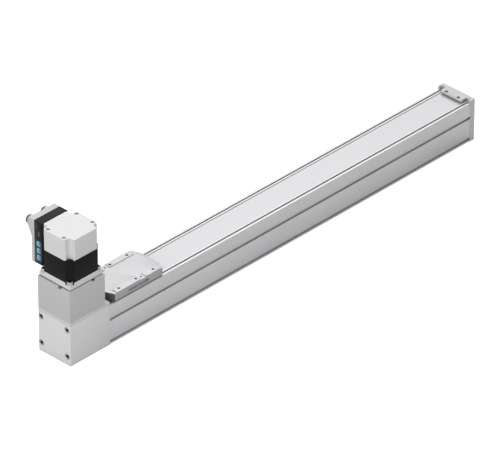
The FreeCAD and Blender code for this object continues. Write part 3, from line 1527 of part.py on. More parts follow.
def stator():
    """Ring of laminations with open slots for the windings."""
    low = "flange_top + stator_lift"
    body = ring("stator", "stator_inner", "casing_bore - bore_gap", low, f"{low} + stator_height")
    half = "stator_slot_width / 2"
    slot = rectangle(f"-{half}", half, "stator_inner - 1", "stator_inner + stator_slot_depth")
    cut = pocket(body, "XY_Plane", f"{low} + stator_height", "stator_height", [slot])
    pattern = body.newObject("PartDesign::PolarPattern", "slots")
    pattern.Originals = [cut]
    axis = next(f for f in body.Origin.OriginFeatures if f.Role == "Z_Axis")
    pattern.Axis = (axis, [""])
    pattern.Angle = 360
    bind(pattern, "Occurrences", "stator_slots")
    body.Tip = pattern
    keep(place(body), "stator")


def motor_bearings():
    source = ring("motor_bearing", "motor_shaft_radius + spin_gap", "motor_bearing_radius", "0",
                  "motor_bearing_height")
    low = "flange_top - motor_bearing_height - motor_bearing_lift"
    copies("motor_bearings", source, [("0", "0", low), ("0", "0", "casing_top - casing_roof")])


def rotor():
    middle = "flange_top + stator_lift + stator_height / 2"
    body = ring("rotor", "motor_shaft_radius + bore_gap", "rotor_radius", f"{middle} - rotor_height / 2",
                f"{middle} + rotor_height / 2")
    keep(place(body), "rotor")


def motor_shaft():
    shaft = cylinder("motor_shaft", "motor_shaft_radius", "motor_shaft_top - motor_shaft_bottom",
                     z="motor_shaft_bottom")
    keep(shaft, "motor_shaft")


def encoder_magnet():
    keep(cylinder("encoder_magnet", "encoder_magnet_radius", "encoder_magnet_height", z="motor_shaft_top"),
         "encoder_magnet")


def encoder_cover():
    """Cast hood: thin walls, a flute down each cut corner and four screw bosses inside."""
    body = new_body("encoder_cover")
    rise = "motor_top - casing_top"
    pad(body, "XY_Plane", "casing_top", rise, [cut_corners("cover_corner")])
    x = "motor_half_x - cover_wall"
    y = "motor_half_y - cover_wall"
    corner = "(cover_corner + 1.4142 * (flute_depth + cover_wall) - 2 * cover_wall)"
    hollow = [(f"-({x}) + {corner}", f"-({y})"), (f"{x} - {corner}", f"-({y})"), (x, f"-({y}) + {corner}"),
              (x, f"{y} - {corner}"), (f"{x} - {corner}", y), (f"-({x}) + {corner}", y),
              (f"-({x})", f"{y} - {corner}"), (f"-({x})", f"-({y}) + {corner}")]
    pocket(body, "XY_Plane", "casing_top", f"{rise} - cover_roof", [hollow], ahead=True)
    spots = four("cover_screw_x", "cover_screw_y")
    for x, y in spots:
        pad(body, "XY_Plane", "casing_top", rise, circles=[(x, y, "cover_boss_radius")])
    pocket(body, "XY_Plane", "motor_top", rise, circles=[(x, y, "screw3_radius + hole_gap") for x,
                                                         y in spots])
    pocket(body, "XY_Plane", "motor_top", "cover_screw_sink",
           circles=[(x, y, "screw3_head + 0.15") for x, y in spots])
    out = "(flute_radius - flute_depth) / 1.4142 - cover_corner / 2"
    flutes = [(x, y, "flute_radius") for x, y in four(f"motor_half_x + {out}", f"motor_half_y + {out}")]
    pocket(body, "XY_Plane", "motor_top", rise, circles=flutes)
    keep(place(body), "encoder_cover")


def encoder_cover_screws():
    screw = cap_screw("encoder_cover_screw", 3, "cover_screw_length")
    spots = [(x, y, "motor_top - cover_screw_sink") for x, y in four("cover_screw_x", "cover_screw_y")]
    copies("encoder_cover_screws", screw, spots)


def encoder_board():
    body = new_body("encoder_board")
    low = "casing_top + board_lift"
    pad(body, "XY_Plane", low, "board_thickness", circles=[("0", "0", "board_radius")])
    half = "encoder_chip / 2"
    pad(body, "XY_Plane", f"{low} + board_thickness", "1.2", [rectangle(f"-{half}", half, f"-{half}", half)])
    posts = [(x, y, "post_radius") for x, y in four("post_place", "post_place")]
    pad(body, "XY_Plane", "casing_top", "board_lift", circles=posts)
    keep(place(body), "encoder_board")


# The controller box on the motor's far side

def controller_frame():
    """Open tray: back wall on the motor, four sides, and a shallow seat for the operator panel."""
    body = new_body("controller_frame")
    outer = rectangle("-box_half_length", "box_half_length", "box_bottom", "box_top")
    pad(body, "XZ_Plane", "-box_end", "box_depth", [outer])
    wall = "box_wall"
    inner = rectangle(f"-box_half_length + {wall}", f"box_half_length - {wall}", f"box_bottom + {wall}",
                      f"box_top - {wall}")
    pocket(body, "XZ_Plane", "-box_end", "box_depth - box_wall", [inner], ahead=True)
    panel = rectangle("box_start + panel_margin / 2", "box_start + panel_margin / 2 + panel_width",
                      "box_bottom + panel_margin", "box_bottom + panel_margin + panel_height")
    pocket(body, "YZ_Plane", "-box_half_length", "panel_sink", [panel], ahead=True)
    keep(place(body), "controller_frame")


def operator_panel():
    body = new_body("operator_panel")
    gap = "seat_gap"
    panel = rectangle(f"box_start + panel_margin / 2 + {gap}",
                      f"box_start + panel_margin / 2 + panel_width - {gap}",
                      f"box_bottom + panel_margin + {gap}",
                      f"box_bottom + panel_margin + panel_height - {gap}")
    pad(body, "YZ_Plane", "-box_half_length + panel_sink", "panel_thickness", [panel], back=True)
    keep(place(body), "operator_panel")


def panel_windows():
    """Three clear windows in a column on the panel."""
    window = block("panel_window", "-key_thickness", "0", "-key_width / 2", "key_width / 2",
                   "-key_height / 2", "key_height / 2")
    face = "-box_half_length + panel_sink - panel_thickness - key_thickness"
    middle = "box_start + panel_margin / 2 + panel_width / 2"
    spots = [(face, f"{middle} - key_width / 2",
              f"key_level + {i} * key_pitch - key_height / 2") for i in range(3)]
    copies("panel_windows", window, spots)


def controller_cover():
    """Lid with a hump at the top for the connectors, hollow inside."""
    body = new_body("controller_cover")
    top = "box_top"
    outer = [("box_end", "box_bottom"), ("lid_end", "box_bottom"), ("lid_end", "slant_low"),
             ("hump_end", "slant_high"),
             ("hump_end", f"{top} - hump_bevel"), ("hump_end - hump_bevel", top), ("box_end", top)]
    pad(body, "YZ_Plane", "-box_half_length", "2 * box_half_length", [outer])
    wall = "lid_wall"
    inner = [("box_end", f"box_bottom + {wall}"), (f"lid_end - {wall}", f"box_bottom + {wall}"),
             (f"lid_end - {wall}", "slant_low + 1"), (f"hump_end - {wall}", "slant_high + 1"),
             (f"hump_end - {wall}", f"{top} - {wall} - 1"), ("box_end", f"{top} - {wall} - 1")]
    pocket(body, "YZ_Plane", f"-box_half_length + {wall}", f"2 * (box_half_length - {wall})", [inner],
           ahead=True)
    places = ("connector_left", "connector_right")
    boss = "boss_end - lid_end + lid_wall"
    bosses = [(x, "connector_level", "connector_collar") for x in places]
    pad(body, "XZ_Plane", "-(lid_end - lid_wall)", boss, circles=bosses, back=True)
    sockets = [(x, "connector_level", "socket_radius") for x in places]
    pocket(body, "XZ_Plane", "-boss_end", boss, circles=sockets, ahead=True)
    spots = lid_screw_spots()
    pocket(body, "XZ_Plane", "-lid_end", "lid_wall",
           circles=[(x, z, "screw3_radius + hole_gap") for x, z in spots],
           ahead=True)
    keep(place(body), "controller_cover")


def lid_screw_spots():
    return [(x, z) for x in both("lid_screw_x") for z in ("lid_screw_low", "lid_screw_z")]


def controller_screws():
    screw = hidden_screw("controller_screw", 3, "lid_depth + 3")
    copies("controller_screws", screw, [(x, "lid_end", z) for x, z in lid_screw_spots()], TO_FAR_SIDE)


def controller_board():
    body = new_body("controller_board")
    back = "box_start + box_wall"
    half = "circuit_length / 2"
    low = "box_bottom + box_wall + 2"
    board = rectangle(f"-{half}", half, low, f"{low} + circuit_height")
    pad(body, "XZ_Plane", f"-({back} + circuit_lift)", "circuit_thickness", [board], back=True)
    posts = [(x, z, "post_radius") for x in both(f"{half} - 4") for z in (f"{low} + 4",
                                                                          f"{low} + circuit_height - 4")]
    pad(body, "XZ_Plane", f"-({back})", "circuit_lift", circles=posts, back=True)
    chips = [rectangle("-11", "-1", f"{low} + 12", f"{low} + 22"),
             rectangle("2", "13", f"{low} + 30", f"{low} + 38")]
    pad(body, "XZ_Plane", f"-({back} + circuit_lift + circuit_thickness)", "1.5", chips, back=True)
    keep(place(body), "controller_board")


def round_connector(label, x):
    """Screw-type round socket: sleeve through the lid, collar outside, open bore for the plug."""
    collar = "connector_collar_height"
    outline = [("0", "-connector_root"), ("connector_root_radius", "-connector_root"),
               ("connector_root_radius", "0"),
               ("connector_collar", "0"), ("connector_collar", collar), ("connector_radius", collar),
               ("connector_radius", "connector_length"), ("connector_bore", "connector_length"),
               ("connector_bore", "connector_length - connector_bore_depth"),
               ("0", "connector_length - connector_bore_depth")]
    body = revolve(label, outline)
    keep(place(body, x=x, y="boss_end", z="connector_level", turn=TO_FAR_SIDE), label)


def connector_pins():
    pin = doc.addObject("Part::Prism", "connector_pin")
    pin.Polygon = 6
    bind(pin, "Circumradius", "contact_radius")
    bind(pin, "Height", "contact_length")
    floor = "boss_end + connector_length - connector_bore_depth"
    reach = "contact_circle * 0.7071"
    spots = []
    for x in ("connector_left", "connector_right"):
        spots += [(f"{x} + {a}", floor, f"connector_level + {b}") for a, b in four(reach, reach)]
    copies("connector_pins", pin, spots, TO_FAR_SIDE)


def check_and_write():
    """Stops on any failed object or shape, then writes one file per sub-part."""
    doc.recompute()
    for thing in doc.Objects:
        if "Invalid" in thing.State or "Error" in thing.State:
            raise ValueError(f"{thing.Name} failed: {thing.State}")
    for thing in kept:
        if thing.Shape.isNull() or not thing.Shape.isValid() or not thing.Shape.Solids:
            raise ValueError(f"{thing.Label} has no sound shape")
    os.makedirs("parts", exist_ok=True)
    for thing in kept:
        thing.Shape.exportStep(f"parts/{thing.Label}.step")
    print(f"{len(kept)} sub-parts written")


sheet = make_sheets()
axis_profile()
cover_plate()
cover_strip()
guide_rail()
rail_screws()
bearing_blocks()
block_end_caps()
carriage_body()
block_screws()
position_magnet()
slide_plate()
slide_wipers()
table_screws()
toothed_belt()
belt_clamp()
belt_clamp_screws()
drive_pulley()
idler_pulley()
idler_bearings()
idler_bracket()
idler_axle()
tension_screws()
end_cap()
end_cap_screws()
strip_clamps()
strip_clamp_screws()
end_buffers()
drive_housing()
drive_housing_screws()
profile_adapter()
adapter_screws()
shaft_bearings()
bearing_carrier()
drive_shaft()
coupling_housing()
coupling_housing_screws()
coupling_hubs()
coupling_spider()
motor_flange()
motor_screws()
motor_casing()
stator()
motor_bearings()
rotor()
motor_shaft()
encoder_magnet()
encoder_cover()
encoder_cover_screws()
encoder_board()
controller_frame()
operator_panel()
panel_windows()
controller_cover()
controller_screws()
controller_board()
round_connector("power_connector", "connector_left")
round_connector("signal_connector", "connector_right")
connector_pins()
check_and_write()
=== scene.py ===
"""Dresses the belt driven linear axis: softened edges, screws, sockets, seals and finishes."""

import json
import math

import bmesh
import bpy
from bpy.props import FloatProperty, FloatVectorProperty, IntProperty, PointerProperty
from mathutils import Matrix, Vector


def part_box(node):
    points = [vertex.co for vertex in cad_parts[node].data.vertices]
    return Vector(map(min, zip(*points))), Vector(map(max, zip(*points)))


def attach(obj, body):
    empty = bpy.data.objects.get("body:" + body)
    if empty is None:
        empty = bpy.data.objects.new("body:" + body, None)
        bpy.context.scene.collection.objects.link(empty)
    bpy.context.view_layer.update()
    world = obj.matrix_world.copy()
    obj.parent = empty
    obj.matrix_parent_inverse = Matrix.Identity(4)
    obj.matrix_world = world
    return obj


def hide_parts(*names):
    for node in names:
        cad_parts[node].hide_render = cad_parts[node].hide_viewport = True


bl_info = {
    "name": "Belt driven linear axis",
    "version": (1, 0, 0),
    "blender": (4, 5, 0),
    "location": "3D View > Sidebar > Linear axis",
    "description": "Dresses the packed linear axis with screws, sockets, seals and finishes",
    "category": "Object",
}

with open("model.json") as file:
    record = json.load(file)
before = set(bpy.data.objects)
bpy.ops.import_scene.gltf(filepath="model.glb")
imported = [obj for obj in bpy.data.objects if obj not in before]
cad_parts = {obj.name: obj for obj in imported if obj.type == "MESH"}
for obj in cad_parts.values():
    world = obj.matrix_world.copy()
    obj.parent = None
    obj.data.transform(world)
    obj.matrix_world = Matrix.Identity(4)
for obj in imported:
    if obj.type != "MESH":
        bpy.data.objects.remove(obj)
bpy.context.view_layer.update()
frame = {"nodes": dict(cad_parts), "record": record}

# Material slot and body of each CAD node
SLOT_OF = {part["node"]: part["material_slot"] for part in frame["record"]["subparts"]}
BODY_OF = {
    name: body for body, names in frame["record"]["behaviour"]["bodies"].items() for name in names
}

MM = 0.001

# In a copied node, points nearer than this become one and faces flatter than this are joined
SAME_POINT = 0.002 * MM
FLAT_ANGLE = math.radians(1)

# A corner sharper than this gets a bevel, and smooth shading breaks there
SHARP_ANGLE = math.radians(32)

# Directions that a screw or socket can point
AWAY = {
    "back": Vector((-1, 0, 0)),
    "far": Vector((1, 0, 0)),
    "up": Vector((0, 0, 1)),
    "far_side": Vector((0, 1, 0)),
}


# Mesh helpers

def merged_copy(node_name):
    """A bmesh of a CAD node with its loose triangles merged into whole faces."""
    bm = bmesh.new()
    bm.from_mesh(frame["nodes"][node_name].data)
    bmesh.ops.remove_doubles(bm, verts=bm.verts, dist=SAME_POINT)
    bmesh.ops.dissolve_limit(bm, angle_limit=FLAT_ANGLE, verts=bm.verts, edges=bm.edges,
                             use_dissolve_boundaries=False, delimit=set())
    return bm


def solid_boxes(node_name):
    """Lowest and highest corner of each separate solid of a CAD node, in the order of their places."""
    bm = bmesh.new()
    bm.from_mesh(frame["nodes"][node_name].data)
    bmesh.ops.remove_doubles(bm, verts=bm.verts, dist=SAME_POINT)
    left = set(bm.verts)
    boxes = []
    while left:
        solid = [left.pop()]
        for vert in solid:
            for edge in vert.link_edges:
                other = edge.other_vert(vert)
                if other in left:
                    left.remove(other)
                    solid.append(other)
        low = Vector(map(min, *(v.co for v in solid)))
        high = Vector(map(max, *(v.co for v in solid)))
        boxes.append((low, high))
    bm.free()
    return sorted(boxes, key=lambda box: tuple(round(c, 6) for c in box[0]))


def long_sharp_edges(bm, shortest):
    """Edges that turn a clear corner and are long enough to take a bevel."""
    return [e for e in bm.edges if len(e.link_faces) == 2 and e.calc_length() > shortest
            and e.calc_face_angle(0) > SHARP_ANGLE]


def bevel(bm, edges, width, segments):
    bmesh.ops.bevel(bm, geom=edges, offset=width, offset_type="OFFSET", segments=segments, profile=0.5,
                    affect="EDGES", clamp_overlap=True, material=-1)


def soften(bm, width, shortest, segments=2):
    """Breaks every long sharp edge with a small bevel."""
    bevel(bm, long_sharp_edges(bm, shortest), width, segments)


def ring(bm, radius, height, segments, corners=0, ripple=0.0):
    """One closed loop of edges: round, with a ripple like a knurl, or pulled to a polygon."""
    made = bmesh.ops.create_circle(bm, cap_ends=False, radius=radius, segments=segments)["verts"]
    for i, vert in enumerate(made):
        angle = math.atan2(vert.co.y, vert.co.x)
        reach = radius
        if corners:
            part = math.tau / corners
            reach = radius * math.cos(part / 2) / math.cos((angle % part) - part / 2)
        if ripple and i % 2:
            reach -= ripple
        vert.co = Vector((reach * math.cos(angle), reach * math.sin(angle), height))
    return list(dict.fromkeys(e for v in made for e in v.link_edges))


def turned(rings, segments, closed=True):
    """A solid along +Z through rings, each a radius, a height and, where it has them, corners and ripple."""
    bm = bmesh.new()
    loops = []
    for radius, height, *form in rings:
        loops.append(ring(bm, radius, height, segments, *form))
        if len(loops) > 1:
            bmesh.ops.bridge_loops(bm, edges=loops[-2] + loops[-1])
    if closed:
        for loop in (loops[0], loops[-1]):
            bmesh.ops.contextual_create(bm, geom=loop)
    return bm


def block(size, centre, corner=0.0, corner_segments=4):
    """A block with its middle at a point. With a corner radius its edges along X are rounded."""
    bm = bmesh.new()
    bmesh.ops.create_cube(bm, size=1)
    bmesh.ops.scale(bm, vec=size, verts=bm.verts)
    if corner:
        along = [e for e in bm.edges if abs(e.verts[0].co.x - e.verts[1].co.x) > size[0] / 2]
        bevel(bm, along, corner, corner_segments)
    bmesh.ops.translate(bm, vec=centre, verts=bm.verts)
    return bm


def stood(bm, spot, towards):
    """Turns everything in the bmesh from +Z to the given direction and moves it to its spot."""
    turn = Vector((0, 0, 1)).rotation_difference(towards).to_matrix().to_4x4()
    bm.transform(Matrix.Translation(spot) @ turn)
    return bm


def gathered(parts):
    """One bmesh with the geometry of all parts."""
    whole = bmesh.new()
    for part in parts:
        mesh = bpy.data.meshes.new("part")
        part.to_mesh(mesh)
        part.free()
        whole.from_mesh(mesh)
        bpy.data.meshes.remove(mesh)
    return whole


def shade(bm):
    """Smooth shading, broken where faces meet at a clear angle."""
    for face in bm.faces:
        face.smooth = True
    for edge in bm.edges:
        edge.smooth = len(edge.link_faces) != 2 or edge.calc_face_angle(0) < SHARP_ANGLE


def place_piece(name, bm, body, slot, replaced=(), finish=None):
    """Turns a bmesh into a piece that rides on a body, with its slot's finish unless one is named."""
    shade(bm)
    mesh = bpy.data.meshes.new(name)
    bm.to_mesh(mesh)
    bm.free()
    piece = bpy.data.objects.new(name, mesh)
    bpy.context.scene.collection.objects.link(piece)
    mesh.materials.append(material_for(finish or slot))
    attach(piece, body)
    if replaced:
        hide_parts(*replaced)
    return piece


def dressed(name, node_name, softness=1.0, shortest=2.5, segments=2, finish=None):
    """A softened copy of a CAD node, standing for it. Edges shorter than some millimetres stay sharp."""
    bm = merged_copy(node_name)
    soften(bm, softness * look().edge_softness, shortest * MM, segments)
    return place_piece(name, bm, BODY_OF[node_name], SLOT_OF[node_name], (node_name,), finish)


# Screws. Each head is its segments and its rings, from its underside over its top to the drive's bottom

def cap_head(head, rise, key):
    """Cap screw with a knurled side, a chamfered rim and a six-sided socket with a drilled bottom."""
    chamfer = 0.09 * head
    knurl = 0.035 * head
    return 48, [
        (head, -rise), (head, -rise + chamfer), (head, -rise + 1.6 * chamfer, 0, knurl),
        (head, -1.8 * chamfer, 0, knurl), (head, -1.2 * chamfer), (head - chamfer, 0),
        (key * 1.12, 0), (key, -0.08 * rise, 6), (key, -0.55 * rise, 6), (key * 0.4, -0.62 * rise),
    ]


def domed_head(head, rise, key):
    """Low rounded head with a small six-sided drive."""
    return 36, [
        (head, -rise), (head, -0.45 * rise), (0.86 * head, -0.12 * rise), (0.6 * head, 0),
        (key * 1.15, 0), (key, -0.1 * rise, 6), (key, -0.6 * rise, 6),
    ]


def low_head(head, rise, key):
    """Low flat head with a wide six-sided socket."""
    return 36, [
        (head, -rise), (head, -0.3 * rise), (0.9 * head, 0),
        (key * 1.25, 0), (key, -0.06 * rise, 6), (key, -0.7 * rise, 6),
    ]


# Sides of the plain round forms
SHANK_SEGMENTS = 20
RING_SEGMENTS = 32
SLEEVE_SEGMENTS = 48

# Radius and height of the head, and radius of the shank, in millimetres
SIZE_5 = (4.2, 5.0, 2.45)
SIZE_4 = (3.45, 4.0, 1.95)
SIZE_3 = (2.65, 1.9, 1.45)

# New piece, the node it stands for, size, corner radius of the drive in millimetres, direction and head
SCREW_SETS = (
    ("housing_cap_screws", "drive_housing_screws", SIZE_5, 2.3, "back", cap_head),
    ("motor_cap_screws", "motor_screws", SIZE_5, 2.3, "up", cap_head),
    ("end_cap_cap_screws", "end_cap_screws", SIZE_4, 1.73, "far", cap_head),
    ("tension_cap_screws", "tension_screws", SIZE_4, 1.73, "far", cap_head),
    ("tab_screws", "strip_clamp_screws", SIZE_3, 1.3, "up", low_head),
    ("motor_cover_screws", "encoder_cover_screws", SIZE_3, 1.1, "up", domed_head),
    ("lid_screws", "controller_screws", SIZE_3, 1.1, "far_side", domed_head),
)


def screw_set(name, node_name, size, key, direction, shape):
    """One detailed head on each screw of a node, with the node's shank below it."""
    head, rise, shank = (length * MM for length in size)
    segments, rings = shape(head, rise, key * MM)
    towards = AWAY[direction]
    axis = max(range(3), key=lambda i: abs(towards[i]))
    parts = []
    for low, high in solid_boxes(node_name):
        top = (low + high) / 2
        top[axis] = (high if towards[axis] > 0 else low)[axis]
        length = (high - low)[axis] - rise
        parts.append(stood(turned(rings, segments), top, towards))
        parts.append(stood(turned([(shank, -length - rise), (shank, -rise)], SHANK_SEGMENTS), top, towards))
    place_piece(name, gathered(parts), BODY_OF[node_name], "zinc_steel", (node_name,))


# Shader nodes

def set_inputs(tree, made, values):
    """Sets a node's input sockets: a socket as value is linked, anything else is its own value."""
    for name, value in values.items():
        if isinstance(value, bpy.types.NodeSocket):
            tree.links.new(value, made.inputs[name])
        else:
            made.inputs[name].default_value = value


def node(tree, kind, values=None, **settings):
    """A new shader node with its settings and the values of its input sockets."""
    made = tree.nodes.new(kind)
    for name, value in settings.items():
        setattr(made, name, value)
    set_inputs(tree, made, values or {})
    return made


def calc(tree, operation, first, second, clamp=False):
    """One step of arithmetic with two values, each a number or a socket."""
    made = node(tree, "ShaderNodeMath", {0: first, 1: second}, operation=operation, use_clamp=clamp)
    return made.outputs[0]


def scaled(tree, colour, amount):
    """A colour made lighter or darker by an amount."""
    made = node(tree, "ShaderNodeVectorMath", {0: colour, "Scale": amount}, operation="SCALE")
    return made.outputs["Vector"]


def object_place(tree):
    return node(tree, "ShaderNodeTexCoord").outputs["Object"]


def noise(tree, place, scale, **more):
    """Noise at a place, from 0 to 1."""
    return node(tree, "ShaderNodeTexNoise", {"Vector": place, "Scale": scale, **more}).outputs["Fac"]


# Shader node groups. Each function takes a group's inputs and gives what goes to its outputs

CLOUDS_PER_METRE = 14
PATCHES_PER_METRE = 260
EDGE_GAIN = 6.0
EDGE_POLISH = 0.12

# Share of open sky at which a crevice is darkest, and how much more it takes until nothing is darker
SKY_SHUT = 0.12
SKY_SPAN = 0.45


def grain(group, given):
    """Uneven tone, roughness and fine relief, stretched along an axis as the finish needs."""
    place = object_place(group)
    stretched = node(group, "ShaderNodeMapping", {"Vector": place, "Scale": given["Stretch"]})
    fine = noise(group, stretched.outputs["Vector"], given["Fineness"], Detail=4, Roughness=0.65)
    cloud = noise(group, place, CLOUDS_PER_METRE, Detail=3)
    around = calc(group, "SUBTRACT", calc(group, "ADD", fine, cloud), 1.0)
    light = calc(group, "ADD", calc(group, "MULTIPLY", around, given["Tone"]), 1.0)
    spread = calc(group, "MULTIPLY", around, given["Roughness spread"])
    return {
        "Colour": scaled(group, given["Colour"], light),
        "Roughness": calc(group, "ADD", given["Roughness"], spread, clamp=True),
        "Height": fine,
    }


def edge_wear(group, given):
    """Finds the part's edges and brings the worn colour and a polish to them, unevenly."""
    rounded = node(group, "ShaderNodeBevel", {"Radius": given["Reach"]}, samples=4).outputs["Normal"]
    plain = node(group, "ShaderNodeNewGeometry").outputs["Normal"]
    agree = node(group, "ShaderNodeVectorMath", {0: rounded, 1: plain}, operation="DOT_PRODUCT")
    edge = calc(group, "SUBTRACT", 1.0, agree.outputs["Value"])
    strong = calc(group, "MULTIPLY", edge, EDGE_GAIN, clamp=True)
    patches = noise(group, object_place(group), PATCHES_PER_METRE)
    uneven = calc(group, "MULTIPLY", strong, patches)
    mask = calc(group, "MULTIPLY", uneven, given["Amount"], clamp=True)
    mix = node(group, "ShaderNodeMix", {
        "Factor": mask, "A": given["Colour"], "B": given["Worn colour"]}, data_type="RGBA")
    polish = calc(group, "MULTIPLY", mask, -EDGE_POLISH)
    return {
        "Colour": mix.outputs["Result"],
        "Roughness": calc(group, "ADD", given["Roughness"], polish, clamp=True),
    }


def crevices(group, given):
    """Paints shade into a colour in slots, seams and recesses, where other surfaces stand close around it.
    """
    sky = node(group, "ShaderNodeAmbientOcclusion", {"Distance": given["Reach"]}, samples=6)
    past_shut = calc(group, "SUBTRACT", sky.outputs["AO"], SKY_SHUT)
    shut = calc(group, "SUBTRACT", 1.0, calc(group, "DIVIDE", past_shut, SKY_SPAN, clamp=True))
    light = calc(group, "SUBTRACT", 1.0, calc(group, "MULTIPLY", shut, given["Amount"]))
    return {"Colour": scaled(group, given["Colour"], light)}


COLOUR, VECTOR, NUMBER = "NodeSocketColor", "NodeSocketVector", "NodeSocketFloat"
PALE = (0.8, 0.8, 0.8, 1)
PALER = (0.9, 0.9, 0.9, 1)

# Function, inputs and outputs of each group
GROUPS = {
    "Metal grain": (
        grain,
        ((COLOUR, "Colour", PALE), (VECTOR, "Stretch", (1, 1, 1)), (NUMBER, "Fineness", 900.0),
         (NUMBER, "Tone", 0.1), (NUMBER, "Roughness", 0.4), (NUMBER, "Roughness spread", 0.1)),
        ((COLOUR, "Colour"), (NUMBER, "Roughness"), (NUMBER, "Height")),
    ),
    "Edge wear": (
        edge_wear,
        ((COLOUR, "Colour", PALE), (COLOUR, "Worn colour", PALER), (NUMBER, "Roughness", 0.4),
         (NUMBER, "Amount", 0.5), (NUMBER, "Reach", 0.4 * MM)),
        ((COLOUR, "Colour"), (NUMBER, "Roughness")),
    ),
    "Crevice shade": (
        crevices,
        ((COLOUR, "Colour", PALE), (NUMBER, "Amount", 0.6), (NUMBER, "Reach", 5 * MM)),
        ((COLOUR, "Colour"),),
    ),
}


def effect(tree, name, values):
    """Places a shared node group, made once, in a material with its own values, and gives its outputs."""
    group = bpy.data.node_groups.get(name)
    if not group:
        fill, inputs, outputs = GROUPS[name]
        group = bpy.data.node_groups.new(name, "ShaderNodeTree")
        for kind, label, default in inputs:
            socket = group.interface.new_socket(name=label, in_out="INPUT", socket_type=kind)
            socket.default_value = default
        for kind, label in outputs:
            group.interface.new_socket(name=label, in_out="OUTPUT", socket_type=kind)
        node(group, "NodeGroupOutput", fill(group, node(group, "NodeGroupInput").outputs))
    return node(tree, "ShaderNodeGroup", values, node_tree=group).outputs


# Finishes

WEAR_REACH = 0.35 * MM
WORN_LIGHTER = 1.25
RELIEF_DEPTH = 0.05 * MM
COAT_ROUGHNESS = 0.12
LENS_DIMMEST = 0.25
